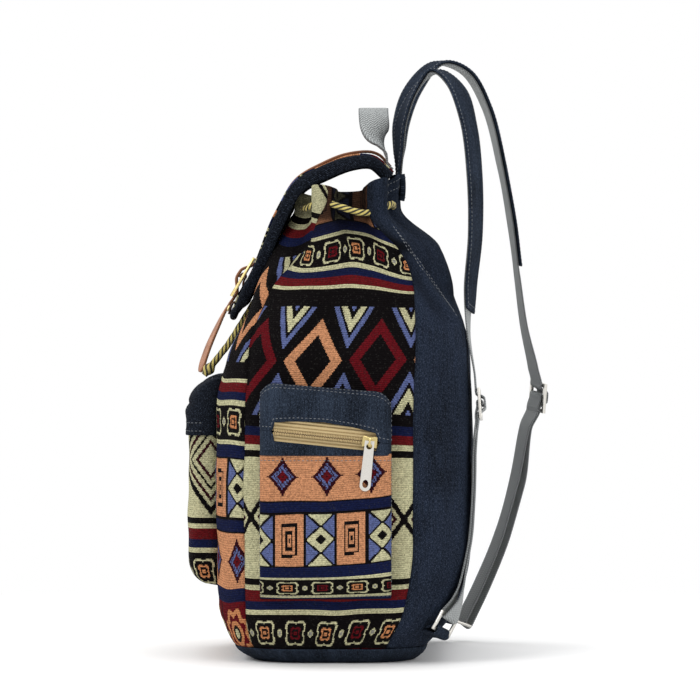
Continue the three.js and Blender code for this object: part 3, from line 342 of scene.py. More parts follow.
def makeWebbing():
    f = Finish("webbing")
    u, v = f.cloth()
    du = cell(u, 6.2)[0]
    rib = wave(f, v + du * 0.75, 2.0)
    fine = f.speckle(f.join(u * 1.2, v * 1.2), 1.0, 3)
    tone = f.ramp(rib, -1, 1, 0.42, 1.12) + fine * 0.5 - 0.25
    edge = f.ramp(abs(u), 11.1, 11.9, 1.0, 0.45)
    colour = f.mix(paint(64, 66, 70), f.dim(paint(176, 180, 180), tone), edge)
    f.set(base_color=colour, roughness=0.82, sheen_weight=0.1, sheen_roughness=0.5, specular_ior_level=0.3)
    f.bump(rib + f.ramp(du, 0, 0.7) * 0.8 + fine * 0.4, 0.0003)
    return f.material


def makeLeather(name, deep, worn, edge):
    f = Finish(name)
    u, v = f.cloth()
    flat = f.join(u, v)
    cloud = f.speckle(flat, 0.07, 5)
    pores = f.node("ShaderNodeTexVoronoi", {"feature": "F1"}, {"Vector": flat, "Scale": 1.1})
    lines = f.speckle(f.join(u * 0.12, v * 0.9), 1.0, 3)
    colour = f.mix(deep, worn, f.ramp(cloud, 0.3, 0.72))
    colour = f.mix(colour, deep, f.ramp(lines, 0.55, 0.8, 0.0, 0.35))
    colour = f.mix(colour, paint(52, 30, 20), f.ramp(abs(u), edge - 1.2, edge))
    f.set(base_color=colour, roughness=f.ramp(cloud, 0.3, 0.75, 0.62, 0.42), specular_ior_level=0.4)
    f.bump(pores * 0.6 + lines * 0.8, 0.00018)
    return f.material


def makeCord():
    f = Finish("twistedCord")
    u, v = f.cloth()
    strand = u * 0.004 + v / 5.2
    share = abs(strand % 1.0 - 0.5)
    fibre = f.speckle(f.join(u * 0.012 - v * 0.05, v * 0.12), 5.0, 3)
    gold = f.mix(paint(214, 198, 116), paint(166, 146, 74), f.ramp(fibre, 0.4, 0.7))
    colour = f.mix(gold, paint(30, 28, 24), f.ramp(share, 0.20, 0.33))
    f.set(base_color=colour, roughness=0.78, sheen_weight=0.15, sheen_roughness=0.4)
    f.bump(fibre * 0.6, 0.0003)
    return f.material


def makeTape():
    f = Finish("zipTape")
    u, v = f.cloth()
    ridge = wave(f, v, 3.0)
    weave = wave(f, u, 0.8)
    fine = f.speckle(f.join(u, v), 0.8, 3)
    colour = f.mix(paint(214, 190, 142), paint(158, 132, 88), f.ramp(ridge, 0.2, -0.9))
    colour = f.mix(colour, paint(228, 206, 158), f.ramp(fine, 0.5, 0.8, 0.0, 0.5))
    f.set(base_color=colour, roughness=0.85, specular_ior_level=0.3)
    f.bump(ridge + weave * 0.25 + fine * 0.3, 0.00035)
    return f.material


def makeMetal(name, tint, rough):
    f = Finish(name)
    spot = f.place()
    patch = f.speckle(spot, 240.0, 4)
    scratch = f.speckle(f.node("ShaderNodeMapping", {}, {"Vector": spot, "Scale": (900, 160, 900)}), 2.0, 3)
    colour = f.mix(tint, paint(150, 138, 112), f.ramp(patch, 0.55, 0.8, 0.0, 0.3))
    f.set(base_color=colour, metallic=1.0, roughness=f.ramp(patch + scratch * 0.5, 0.5, 1.1, rough, rough + 0.2))
    f.bump(scratch + patch * 0.5, 0.000015)
    return f.material


def makeLining():
    f = Finish("flapLining")
    u, v = f.cloth()
    grid = wave(f, u, 0.8) * wave(f, v, 0.8)
    wash = f.speckle(f.join(u, v), 0.05, 4)
    f.set(base_color=f.mix(paint(20, 20, 26), paint(40, 40, 48), f.ramp(wash, 0.35, 0.7)), roughness=0.9,
          specular_ior_level=0.25)
    f.bump(grid + wash, 0.0002)
    return f.material


def makeThread(name, pale, dark):
    f = Finish(name)
    spot = f.place()
    twist = f.speckle(spot, 1500.0, 2)
    f.set(base_color=f.mix(pale, dark, f.ramp(twist, 0.4, 0.7)), roughness=0.75)
    f.bump(twist, 0.0001)
    return f.material


wovenCloth = makeWovenCloth()
denim = makeDenim("denim", paint(10, 15, 22), paint(54, 65, 82))
denimBody = makeDenim("denimBody", paint(6, 10, 16), paint(37, 46, 63), 1.3)
edgeDenim = makeDenim("edgeDenim", paint(13, 16, 22), paint(25, 30, 39), 0.6)
webbing = makeWebbing()
strapLeather = makeLeather("strapLeather", paint(122, 78, 50), paint(178, 116, 74), 9.6)
patchLeather = makeLeather("patchLeather", paint(72, 44, 32), paint(104, 68, 48), 15.0)
twistedCord = makeCord()
zipTape = makeTape()
silver = makeMetal("paleMetal", paint(216, 213, 206), 0.22)
gilt = makeMetal("giltMetal", paint(206, 186, 128), 0.24)
flapLiningCloth = makeLining()
paleThread = makeThread("paleThread", paint(124, 128, 132), paint(80, 84, 92))
print("finishes made")


def clamp(value, low=0.0, high=1.0):
    return min(high, max(low, value))


def ease(value, low, high):
    f = clamp((value - low) / (high - low))
    return f * f * (3 - 2 * f)


def bell(distance, width):
    return math.exp(-(distance / width) ** 2)


def ripple(x, y, seed=0.0):
    return noise.noise(Vector((x, y, seed)))


def flatten(value, power):  # rounds a circle out towards a flat strip
    return math.copysign(abs(value) ** power, value)


def curve(p1, p2, m1, m2, f):  # from p1 to p2, leaving with slope m1 and arriving with m2
    return p1 + m1 * f + (3 * (p2 - p1) - 2 * m1 - m2) * f * f + (2 * (p1 - p2) + m1 + m2) * f ** 3


def square(across, along):  # across, turned to stand square on along
    return (across - along * across.dot(along)).normalized()


def narrow(low, high, below, steps):  # where below turns from true to false
    for i in range(steps):
        middle = (low + high) / 2
        low, high = (middle, high) if below(middle) else (low, middle)
    return middle


def between(value, table):  # straight steps between (value, result) pairs
    for (x0, y0), (x1, y1) in zip(table, table[1:]):
        if value <= x1:
            break
    return y0 + (value - x0) * (y1 - y0) / (x1 - x0)


# meshes are in millimetres until they are added
def addMesh(name, made, finish):
    for vert in made.verts:
        vert.co *= mm
    for face in made.faces:
        face.smooth = True
    mesh = bpy.data.meshes.new(name)
    made.to_mesh(mesh)
    made.free()
    mesh.materials.append(finish)
    piece = bpy.data.objects.new(name, mesh)
    bpy.context.scene.collection.objects.link(piece)
    return piece


def finishPiece(name, made, finish, replaced, slot, thick=0.0, body="bag"):
    piece = addMesh(name, made, finish)
    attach(piece, body)
    if replaced:
        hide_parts(*replaced)
    if thick:
        solid = piece.modifiers.new("thickness", "SOLIDIFY")
        solid.thickness = thick * mm
        solid.offset = -1
        solid.use_even_offset = True
        solid.use_quality_normals = True
    return piece


def surface(columns, rows, at, chart, away=None):  # a grid laid on at(a, b), with its cloth and shade maps
    made = bmesh.new()
    bmesh.ops.create_grid(made, x_segments=columns, y_segments=rows, size=0.5)
    cloth = made.loops.layers.uv.new("cloth")
    shadow = made.loops.layers.uv.new("shadow")
    share = {vert: (clamp(vert.co.x + 0.5), clamp(vert.co.y + 0.5)) for vert in made.verts}
    flat = {vert: chart(*share[vert]) for vert in made.verts}
    for face in made.faces:
        for loop in face.loops:
            # a chart's third value is painted shade, kept in the shadow map
            u, v, dark = (*flat[loop.vert], 0.0)[:3]
            loop[cloth].uv = u * mm, v * mm
            loop[shadow].uv = dark, 0.0
    for vert in made.verts:
        vert.co = at(*share[vert])
    made.normal_update()
    if away is not None:
        middles = [(face.normal, face.calc_center_median()) for face in made.faces]
        if sum(normal.dot(spot - away(spot)) for normal, spot in middles) < 0:
            bmesh.ops.reverse_faces(made, faces=made.faces)
    return made


def hose(around, along, at, chart):  # a closed strip: a runs round it and b along it
    made = surface(around, along, at, chart)
    bmesh.ops.remove_doubles(made, verts=made.verts, dist=1e-4)
    bmesh.ops.holes_fill(made, edges=[edge for edge in made.edges if edge.is_boundary], sides=0)
    bmesh.ops.recalc_face_normals(made, faces=made.faces)
    return made


def smoothLine(points):  # a rounded line through the points; t runs from 0 to 1
    ways = [Vector(p) for p in points]
    ways = [2 * ways[0] - ways[1]] + ways + [2 * ways[-1] - ways[-2]]

    def at(t):
        span = clamp(int(t * (len(points) - 1)), 0, len(points) - 2)
        p0, p1, p2, p3 = ways[span:span + 4]
        d0, d1, d2 = [math.sqrt((b - a).length) for a, b in ((p0, p1), (p1, p2), (p2, p3))]
        d1 = d1 if d1 > 1e-4 else 1.0
        d0 = d0 if d0 > 1e-4 else d1
        d2 = d2 if d2 > 1e-4 else d1
        m1 = ((p1 - p0) / d0 - (p2 - p0) / (d0 + d1) + (p2 - p1) / d1) * d1
        m2 = ((p2 - p1) / d1 - (p3 - p1) / (d1 + d2) + (p3 - p2) / d2) * d1
        return curve(p1, p2, m1, m2, t * (len(points) - 1) - span)
    return at


class Line:  # a smooth line measured along its length
    def __init__(self, points, steps=900):
        self.at = smoothLine(points)
        spots = [self.at(i / steps) for i in range(steps + 1)]
        self.ways = [0.0]
        for a, b in zip(spots, spots[1:]):
            self.ways.append(self.ways[-1] + (b - a).length)
        self.length = self.ways[-1]
        self.steps = steps

    def share(self, way):  # the line's own t at a length
        low, high = 0, self.steps
        while high - low > 1:
            middle = (low + high) // 2
            low, high = (middle, high) if self.ways[middle] <= way else (low, middle)
        gap = max(1e-9, self.ways[high] - self.ways[low])
        return (low + clamp((way - self.ways[low]) / gap)) / self.steps

    def point(self, way):
        return self.at(self.share(clamp(way, 0.0, self.length)))

    def along(self, way):
        return (self.point(way + 0.4) - self.point(way - 0.4)).normalized()


def outOf(at, a, b, core):  # outward normal of a sheet, away from core
    step = 0.004
    side = at(min(1, a + step), b) - at(max(0, a - step), b)
    rise = at(a, min(1, b + step)) - at(a, max(0, b - step))
    normal = side.cross(rise).normalized()
    return normal if normal.dot(at(a, b) - core) > 0 else -normal


# sewing thread, all stitches gathered in one piece
sewing = {"length": 2.3, "pitch": 3.4, "width": 0.34, "flat": 0.8, "lift": 0.1}
stitchMesh = bmesh.new()


def sew(points, normals):
    ways = [0.0]
    for a, b in zip(points, points[1:]):
        ways.append(ways[-1] + (b - a).length)
    count = int(ways[-1] / sewing["pitch"])
    wide = sewing["width"]
    k = 0
    for i in range(count):
        way = (i + 0.5) * ways[-1] / count
        while k < len(ways) - 2 and ways[k + 1] < way:
            k += 1
        f = (way - ways[k]) / max(1e-9, ways[k + 1] - ways[k])
        spot = points[k].lerp(points[k + 1], f)
        up = normals[k].lerp(normals[k + 1], f).normalized()
        along = (points[k + 1] - points[k]).normalized()
        across = up.cross(along).normalized()
        turned = Matrix((across * wide, along * sewing["length"] / 2, up * wide * sewing["flat"])).transposed()
        turned = Matrix.Translation(spot + up * sewing["lift"]) @ turned.to_4x4()
        bmesh.ops.create_icosphere(stitchMesh, subdivisions=1, radius=1.0, matrix=turned)


def sewOn(at, core, start, end, steps=60):  # a stitched line on a sheet between two places of it
    places = [[p + (q - p) * i / steps for p, q in zip(start, end)] for i in range(steps + 1)]
    sew([at(a, b) for a, b in places], [outOf(at, a, b, core) for a, b in places])


def sewRow(frames, across, lift):  # a stitched line beside the middle line of a strip
    sew([frame[0] + frame[1] * across + frame[2] * lift for frame in frames], [frame[2] for frame in frames])


# body: height, half width, front, back and corner radius from the sole to the rim
bag = {
    "stations": [(0, 106, -70, 62, 46), (16, 126, -88, 75, 50), (45, 139, -99, 98, 55), (100, 145, -101, 109, 57),
                 (200, 145, -101, 109, 57), (250, 142, -92, 108, 57), (300, 128, -64, 96, 52),
                 (340, 108, -43, 82, 44), (374, 97, -30, 47, 36), (402, 98, -27, 46, 35)],
    "seams": (0.156, 0.32, 0.68, 0.844), "girth": 902.0, "base": 12.6, "cloth": 2.0, "pleats": 10,
    "pleatDepth": 11.0, "pleatStart": 268.0, "neck": 374.0, "rimFront": 384.0, "rimBack": 402.0, "rimMean": 394.0,
}
stationCache = {}


def stationAt(z):
    key = round(z, 3)
    if key in stationCache:
        return stationCache[key]
    rows = bag["stations"]
    last = len(rows) - 1
    i = 0
    while i < last - 1 and z > rows[i + 1][0]:
        i += 1
    span = rows[i + 1][0] - rows[i][0]
    f = (z - rows[i][0]) / span
    values = []
    for column in range(1, 5):
        def rise(k):
            return (rows[k + 1][column] - rows[k][column]) / (rows[k + 1][0] - rows[k][0])

        def slope(k):
            if k in (0, last):
                return rise(min(k, last - 1))
            below, above = rise(k - 1), rise(k)
            return 0 if below * above <= 0 else 2 * below * above / (below + above)
        values.append(curve(rows[i][column], rows[i + 1][column], slope(i) * span, slope(i + 1) * span, f))
    stationCache[key] = values
    return values


def outlinePoint(s, z):  # share s of the way round, from the front by the right
    wrapped = s - math.floor(s)
    side = 1 if wrapped <= 0.5 else -1
    half, front, back, r = stationAt(z)
    arc, edge, flank = math.pi * r / 2, half - r, back - front - 2 * r
    way = (wrapped if side > 0 else 1 - wrapped) * 2 * (2 * edge + 2 * arc + flank)
    if way <= edge:
        return Vector((side * way, front))
    way -= edge
    if way <= arc:
        return Vector((side * (edge + r * math.sin(way / r)), front + r - r * math.cos(way / r)))
    way -= arc
    if way <= flank:
        return Vector((side * half, front + r + way))
    way -= flank
    if way <= arc:
        return Vector((side * (edge + r * math.cos(way / r)), back - r + r * math.sin(way / r)))
    return Vector((side * (edge - (way - arc)), back))


def outlineOut(s, z):
    along = (outlinePoint(s + 1e-3, z) - outlinePoint(s - 1e-3, z)).normalized()
    return Vector((along.y, -along.x))


def frontShare(s):
    return (1 + math.cos(2 * math.pi * s)) / 2


def seamAt(seam, z):  # the side seams draw together in the gathers
    gather = ease(z, 322, 384)
    tuck = ease(z, 300, 378)
    lean = {0.156: 0.060 * gather - 0.018 * bell(z - 296, 42), 0.32: -0.007 - 0.038 * tuck}
    near = abs(seam) if abs(seam) < 0.5 else round(1 - seam, 3)
    return seam + lean[near] * (1 if 0 < seam < 0.5 else -1)


def gathers(s, shift=0.0):
    return math.cos(2 * math.pi * bag["pleats"] * s + shift)


def pleat(s, z):
    give = 1 - 0.55 * frontShare(s) ** 3 - 0.9 * (1 - frontShare(s)) ** 4
    return bag["pleatDepth"] * ease(z, bag["pleatStart"], bag["neck"]) * give * gathers(s)


def rimHeight(s):
    back = 1 - frontShare(s)
    crest = 4.5 * gathers(s) * 4 * back * (1 - back)
    return bag["rimFront"] + (bag["rimBack"] - bag["rimFront"]) * back ** 1.2 + crest


def clothSpot(s, z):  # place and outward direction of the gathered cloth
    def gathered(q):
        return outlinePoint(q, z) + outlineOut(q, z) * pleat(q, z)
    along = (gathered(s + 1e-3) - gathered(s - 1e-3)).normalized()
    return gathered(s), Vector((along.y, -along.x))


folds = {"broad": 2.6, "small": 0.9, "neck": 2.0, "foot": 1.6, "seam": 1.9, "pucker": 0.7, "crease": 4.6,
         "shoulder": 11, "valley": 13, "dent": 2.4, "back": 2.6, "creaseSpot": (44, 354), "creaseOut": (0.826, 0.563)}


def creaseLie(s, z):  # distance from the slanting crease behind the right seam
    (y0, z0), (outY, outZ) = folds["creaseSpot"], folds["creaseOut"]
    return (z - z0) * outZ + (outlinePoint(s, z).y - y0) * outY


def fold(s, z):  # how far the cloth stands out of its plain form
    out = folds["broad"] * ripple(s * 11, z / 62) * ease(z, 14, 40)
    out += folds["small"] * ripple(s * 38 + z / 90, z / 26, 15.0) * ease(z, 16, 30)
    out += folds["neck"] * ease(z, 296, 366) * ripple(s * 52, z / 80, 3.0)
    out += folds["foot"] * (1 - ease(z, 30, 80)) * ease(z, 12, 20) * ripple(s * 22 + z / 40, z / 16, 7.0)
    wrapped = s - math.floor(s)
    for seam in bag["seams"]:
        away = abs(wrapped - seamAt(seam, z)) * bag["girth"]
        if away < 22:
            out -= folds["seam"] * bell(away, 3.4) * (1 - 0.6 * ease(z, 300, 350))
            out += folds["pucker"] * bell(away - 6, 6) * ripple(seam * 90, z / 7, 11.0)
    turned = min(wrapped, 1 - wrapped)
    out += folds["shoulder"] * bell(z - 322, 34) * bell(turned - 0.125, 0.034)  # full under the flap
    out -= folds["valley"] * bell(turned - 0.25, 0.02) * ease(z, 326, 372)  # deep at the neck
    if 0.27 < wrapped < 0.5:  # slanting crease in the denim behind the right seam
        y, lie = outlinePoint(s, z).y, creaseLie(s, z)
        reach = ease(z, 262, 300) * (1 - ease(z, 352, 372))
        out += folds["crease"] * reach * (bell(lie, 5) - 0.9 * bell(lie - 10, 6))
        out -= folds["dent"] * bell(z - 340 - (y - 60) * 0.3, 5) * bell(y - 58, 14)
    if 0.36 < wrapped < 0.64:  # soft upright folds
        out += folds["back"] * ripple(s * 34, z / 150, 5.0) * ease(z, 40, 90)
    return out


def bodyPoint(s, z, lift=0.0):  # the cloth of the body as it hangs
    spot, out = clothSpot(s, z)
    hem = 0.9 * ease(z, rimHeight(s) - 13.4, rimHeight(s) - 12.2)
    spot = spot + out * (fold(s, z) + hem + lift)
    return Vector((spot.x, spot.y, z))


def sewBody(places, lift=0.0):
    sew([bodyPoint(s, z, lift) for s, z in places], [Vector((*clothSpot(s, z)[1], 0)) for s, z in places])


sideCloth = {"columns": 78, "finish": wovenCloth, "slot": "woven_cloth",
             "cloth": [(12.8, 0), (168.5, 152.5), (302.2, 293), (402, 398)], "shift": 52.0}
panels = {  # seams at both edges, and the height of the cloth's design at heights of the bag
    "front_panel": {"from": -0.156, "to": 0.156, "columns": 130, "finish": wovenCloth, "slot": "woven_cloth",
                    "cloth": [(12, 492), (233.5, 300), (345, 181), (366, 157), (402, 112)], "shift": 28.5},
    "side_panel_right": {"from": 0.156, "to": 0.32, **sideCloth},
    "back_panel": {"from": 0.32, "to": 0.68, "columns": 150, "finish": denimBody, "slot": "denim",
                   "cloth": [(0, 0), (402, 402)], "shift": 0.0},
    "side_panel_left": {"from": 0.68, "to": 0.844, **sideCloth},
}


def buildPanel(name, look):
    low = bag["base"]

    def place(a, b):
        z = low + (bag["rimMean"] - low) * b
        start, end = [seamAt(look[key], z) for key in ("from", "to")]
        s = start + (end - start) * a
        return s, low + (rimHeight(s) - low) * b

    def at(a, b):
        return bodyPoint(*place(a, b))

    def chart(a, b):
        s, z = place(a, b)
        turned = 0.5 - abs(s - math.floor(s) - 0.5)
        sag = 13 * ease(turned, 0.262, 0.318) * ease(z, 285, 335)
        sag += 3.4 * gathers(s, 0.8) * ease(z, 292, 345) + 2.5 * ripple(s * 26, z / 70, 21.0)
        if look["slot"] == "denim":  # painted shade: a small pocket where the crease meets the seam, and a band just below the slanting crease
            dark = 0.8 * bell(turned - 0.302, 0.016) * bell(z - 343 + (turned - 0.3) * 300, 6)
            reach = ease(z, 270, 300) * (1 - ease(z, 352, 366)) * (turned > 0.28)
            dark += 0.5 * bell(creaseLie(s, z) + 6.5, 4) * reach
        elif look["from"] > 0:  # sides: painted shade in the gathers under the cord
            dark = 0.5 * ease(z, 346, 358) + 0.46 * ease(z, 358, 368)
        else:
            # front: painted shade near the rim, under the flap
            dark = 0.25 * ease(z, 350, 380) * (1 - ease(turned, 0.12, 0.17))
        return s * bag["girth"] + look["shift"], between(z, look["cloth"]) + sag, min(0.93, dark)
    made = surface(look["columns"], 185, at, chart, lambda spot: Vector((0, 5, spot.z)))
    finishPiece(name + "_cloth", made, look["finish"], [name], look["slot"], bag["cloth"])
    for drop in (3.2, 9.6) if look["slot"] == "denim" else ():  # hem at the rim
        shares = [look["from"] + (look["to"] - look["from"]) * i / 90 for i in range(91)]
        sewBody([(s, rimHeight(s) - drop) for s in shares])


for panelName, panelLook in panels.items():
    buildPanel(panelName, panelLook)


base = {"wall": 0.3, "roll": 2.2, "out": 0.8, "wrinkle": 0.7}  # wall: its share of the rows, the rest is the sole


def basePoint(a, b):
    share = clamp(b / base["wall"])
    z = bag["base"] * (1 - share)
    roll = base["roll"] * math.sin(share * math.pi)
    out = base["out"] + roll + base["wrinkle"] * ripple(a * 40, z / 9, 2.0) * (1 - share)
    spot = outlinePoint(a, z) + outlineOut(a, z) * out
    if b > base["wall"]:
        spot = spot * (1 - (b - base["wall"]) / (1 - base["wall"]) * 0.999)
    return Vector((spot.x, spot.y, z))


def baseChart(a, b):
    spot = basePoint(a, b)
    return (a * bag["girth"], spot.z) if b <= base["wall"] else (spot.x, spot.y)


creasePlaces = []  # double row of stitches down the slanting crease
for i in range(41):
    y, z = 46 + 50 * i / 40, 357 - 70 * i / 40
    creasePlaces.append((narrow(0.25, 0.40, lambda s: bodyPoint(s, z).y < y, 24), z))
for shift in (-2.2, 2.2):
    sewBody([(s, z + shift) for s, z in creasePlaces], 0.1)
finishPiece("base_cloth", hose(240, 24, basePoint, baseChart), denim, ["base_panel"], "denim")
print("body made")


# pockets: superellipse sections that stand out of the body
def roundOff(distance, radius):
    inside = clamp(1 - distance / radius)
    return (1 - inside ** 2.4) ** (1 / 2.4)


def pocketSection(share, half, depth, power):
    angle = (share - 0.5) * math.pi
    return half * flatten(math.sin(angle), 2 / power), depth * max(0.0, math.cos(angle)) ** (2 / power)


def sideFace(y, z):
    half, front, back, r = stationAt(z)
    past = max(0.0, front + r - y, y - (back - r))
    return half - r + math.sqrt(max(0.0, r * r - past * past))


frontPocket = {"half": 80.0, "bottom": 62.0, "top": 233.0, "depth": 25.0, "hood": 186.0, "step": 2.4, "power": 7,
               "round": 20.0, "crown": 33.0, "puff": 1.6, "lap": 4.0}


def sectionWay(share, half, depth, power):  # cloth length from the middle of a pocket's section
    steps = 24
    spots = [pocketSection(0.5 + (share - 0.5) * i / steps, half, depth, power) for i in range(steps + 1)]
    return math.copysign(sum(math.dist(a, b) for a, b in zip(spots, spots[1:])), share - 0.5)


def frontPocketPoint(a, z, hood):
    look = frontPocket
    step = look["step"] if hood else 0.0
    swell = roundOff(look["top"] - z, look["crown"]) if hood else roundOff(z - look["bottom"], look["round"])
    inner = (look["depth"] + step - 2) * swell
    across, out = pocketSection(a, look["half"] + step, inner + 2, look["power"])
    lie = math.sin(math.pi * a)
    out += lie * look["puff"] * ripple(across / 30, z / 26, 4.0 if hood else 9.0) * ease(out, 4, 16)
    if hood:  # fold across the hood above its edge
        out -= 1.8 * bell(z - 212 - 2 * ripple(across / 25, 0, 2.0), 3.0) * ease(out, 6, 18)
        out += 0.9 * bell(z - 206, 5) * ease(out, 6, 18)
    return Vector((across, stationAt(z)[1] - out + 0.6, z))


def buildFrontPocket():
    look = frontPocket

    def faceHeight(b):
        return look["bottom"] + (look["hood"] + look["lap"] - look["bottom"]) * b

    def wayAt(a):
        return sectionWay(a, look["half"], look["depth"], look["power"])

    def face(a, b):
        return frontPocketPoint(a, faceHeight(b), False)

    def hood(a, b):
        return frontPocketPoint(a, look["hood"] + (look["top"] - look["hood"]) * b ** 0.85, True)
    away = (lambda spot: Vector((0, -60, spot.z)))
    made = surface(150, 90, face, lambda a, b: (wayAt(a) + 13, faceHeight(b) - 60), away)
    finishPiece("front_pocket_cloth", made, wovenCloth, ["front_pocket_face"], "woven_cloth", bag["cloth"])
    made = surface(150, 60, hood, lambda a, b: (wayAt(a), look["hood"] + 47 * b), away)
    finishPiece("front_pocket_hood_cloth", made, edgeDenim, ["front_pocket_hood"], "denim", bag["cloth"])
    core = Vector((0, -60, 200))
    for b in (0.05, 0.17):
        sewOn(hood, core, (0.02, b), (0.98, b), 120)


buildFrontPocket()

sidePocket = {"front": -64.0, "back": 43.0, "bottom": 55.0, "top": 226.0, "depth": 20.0, "seam": 174.4,
              "power": 8, "round": 20.0, "puff": 1.5, "lap": 1.5,
              "zipHeight": 188.0, "zipFall": 6.0, "zipHalf": 45.0, "window": 43.0, "drop": 7.4, "arch": 4.6}
pocketMiddle = (sidePocket["front"] + sidePocket["back"]) / 2
pocketHalf = (sidePocket["back"] - sidePocket["front"]) / 2


def zipLine(across):  # height of the zip's middle line
    return sidePocket["zipHeight"] - across * math.tan(math.radians(sidePocket["zipFall"]))


def windowEnd(across):  # 1 inside the zip's window, 0 past its ends
    blunt = 1.3 if across > 0 else 2.6
    return 1 - ease(abs(across), sidePocket["window"] - 3.5 + blunt, sidePocket["window"] + 1.5)


def pocketTop(across):  # the sewn top edge falls to the back and rounds off at its ends
    return sidePocket["top"] + 2 - 0.08 * across - 9 * clamp((abs(across) - 40) / 13.5) ** 2.6


def sidePocketPoint(a, z, side, seed=0.0, lift=0.0):
    look = sidePocket
    top = pocketTop(pocketSection(a, pocketHalf, 1, look["power"])[0])
    swell = min(roundOff(z - look["bottom"], look["round"]), roundOff(top - z, look["round"]))
    across, out = pocketSection(a, pocketHalf, (look["depth"] - 2) * swell + 2, look["power"])
    free = ease(out, 3, 14)
    out += free * look["puff"] * ripple(across / 24, z / 22, 6.0 + seed)
    out += lift * free
    return Vector((side * (sideFace(pocketMiddle + across, z) + out - 0.5), pocketMiddle + across, z))


def buildSidePocket(name, side):
    look = sidePocket
    away = (lambda spot: Vector((side * 100, spot.y * 0.6 - 4, spot.z * 0.6 + 58)))
    core = Vector((side * 100, pocketMiddle, 140))

    def acrossAt(a):
        return pocketSection(a, pocketHalf, look["depth"], look["power"])[0]

    def wayAt(a):
        return sectionWay(a, pocketHalf, look["depth"], look["power"])

    def faceHeight(b):
        return look["bottom"] + (look["seam"] - look["bottom"]) * b

    def face(a, b):
        return sidePocketPoint(a, faceHeight(b), side)

    def faceChart(a, b):
        z, across = faceHeight(b), acrossAt(a)
        hang = 2.6 - 0.045 * across + 2.2 * math.cos(across * math.pi / 2 / pocketHalf)
        hang += 1.2 * ripple(across / 30, z / 40, 31.0)
        return wayAt(a) + 16.8, z + 267.5 + hang - 0.85 * max(0, 74 - z)  # tucks under at the bottom

    def upperLow(a):
        across = acrossAt(a)
        arch = look["arch"] * math.cos(clamp(across / look["window"], -1, 1) * math.pi / 2)
        return zipLine(across) + windowEnd(across) * (look["drop"] + arch)

    def lowerHigh(a):
        across = acrossAt(a)
        return zipLine(across) - windowEnd(across) * look["drop"]

    def upper(a, b):
        low = upperLow(a)
        tall = pocketTop(acrossAt(a)) - low
        rim = 0.9 * windowEnd(acrossAt(a)) * bell(b * tall, 4)
        return sidePocketPoint(a, low + tall * b, side, 3.0, rim)

    def lower(a, b):
        low = look["seam"] - look["lap"]
        rim = 0.7 * windowEnd(acrossAt(a)) * bell((1 - b) * 10, 4) + 0.5
        return sidePocketPoint(a, low + (lowerHigh(a) - low) * b, side, 3.0, rim)

    def hoodChart(at):
        return lambda a, b: (wayAt(a), at(a, b).z)
    made = surface(110, 80, face, faceChart, away)
    finishPiece(f"side_pocket_cloth_{name}", made, wovenCloth, [f"side_pocket_face_{name}"], "woven_cloth",
                bag["cloth"])
    made = surface(110, 40, upper, hoodChart(upper), away)
    finishPiece(f"side_pocket_hood_cloth_{name}", made, denim, [f"side_pocket_hood_{name}"], "denim", bag["cloth"])
    made = surface(110, 14, lower, hoodChart(lower), away)
    finishPiece(f"side_pocket_strip_{name}", made, denim, (), "denim", 1.8)
    for b in (0.90, 0.975):  # double rows along the sewn edge
        sewOn(upper, core, (0.06, b), (0.94, b), 80)
    for a in (0.012, 0.035):
        for turned in (a, 1 - a):
            sewOn(face, core, (turned, 0.06), (turned, 0.98), 60)
            sewOn(upper, core, (turned, 0.04), (turned, 0.86), 30)
    sewOn(upper, core, (0.16, 0.10), (0.84, 0.10), 60)
    sewOn(face, core, (0.05, 0.03), (0.95, 0.03), 60)
    sewOn(face, core, (0.05, 0.955), (0.95, 0.955), 60)


buildSidePocket("right", 1)
buildSidePocket("left", -1)
print("pockets made")


# zips: tapes with woven ridges, coils of small turns, and the moving metal
zipLook = {"wall": 145.3, "face": 15.36, "slit": 0.9, "tape": 11.0, "thick": 0.8, "ridge": 2.6,
           "coil": 16.3, "turn": 1.35, "turnForm": (0.8, 0.62, 1.6, 1)}
zipFall = math.radians(sidePocket["zipFall"])


def zipPlace(side, p, q, r):
    return Vector((side * (zipLook["wall"] + r), pocketMiddle + p * math.cos(zipFall) + q * math.sin(zipFall),
                   sidePocket["zipHeight"] - p * math.sin(zipFall) + q * math.cos(zipFall)))


def buildZip(name, side):
    half = sidePocket["zipHalf"]
    for row, up in (("upper", 1), ("lower", -1)):
        def at(a, b):
            q = zipLook["slit"] + zipLook["tape"] * b
            ridge = 0.45 * math.cos(q * 2 * math.pi / zipLook["ridge"]) + 0.25 * ripple(a * 30, q / 3)
            ridge *= 0.6 * ease(q, 4.6, 6.0)  # flat where the slider runs
            return zipPlace(side, -half + 2 * half * a, up * q, zipLook["face"] + ridge)
        made = surface(90, 40, at, lambda a, b: (2 * half * a, zipLook["slit"] + zipLook["tape"] * b),
                       lambda spot: Vector((0, spot.y, spot.z)))
        finishPiece(f"zip_tape_cloth_{row}_{name}", made, zipTape, [f"zip_tape_{row}_{name}"], "tape", zipLook["thick"])
        coil = bmesh.new()
        reach = sidePocket["window"] - 1
        for i in range(int(2 * reach / zipLook["turn"])):
            spot = zipPlace(side, -reach + (i + 0.5 * (up > 0)) * zipLook["turn"], up * 1.35, zipLook["coil"])
            turned = Matrix.Translation(spot) @ Matrix.Rotation(-zipFall, 4, "X")
            turned = turned @ Matrix.Diagonal(zipLook["turnForm"])
            bmesh.ops.create_icosphere(coil, subdivisions=1, radius=1.0, matrix=turned)
        finishPiece(f"zip_coil_turns_{row}_{name}", coil, coilYarn, [f"zip_coil_{row}_{name}"], "tape")


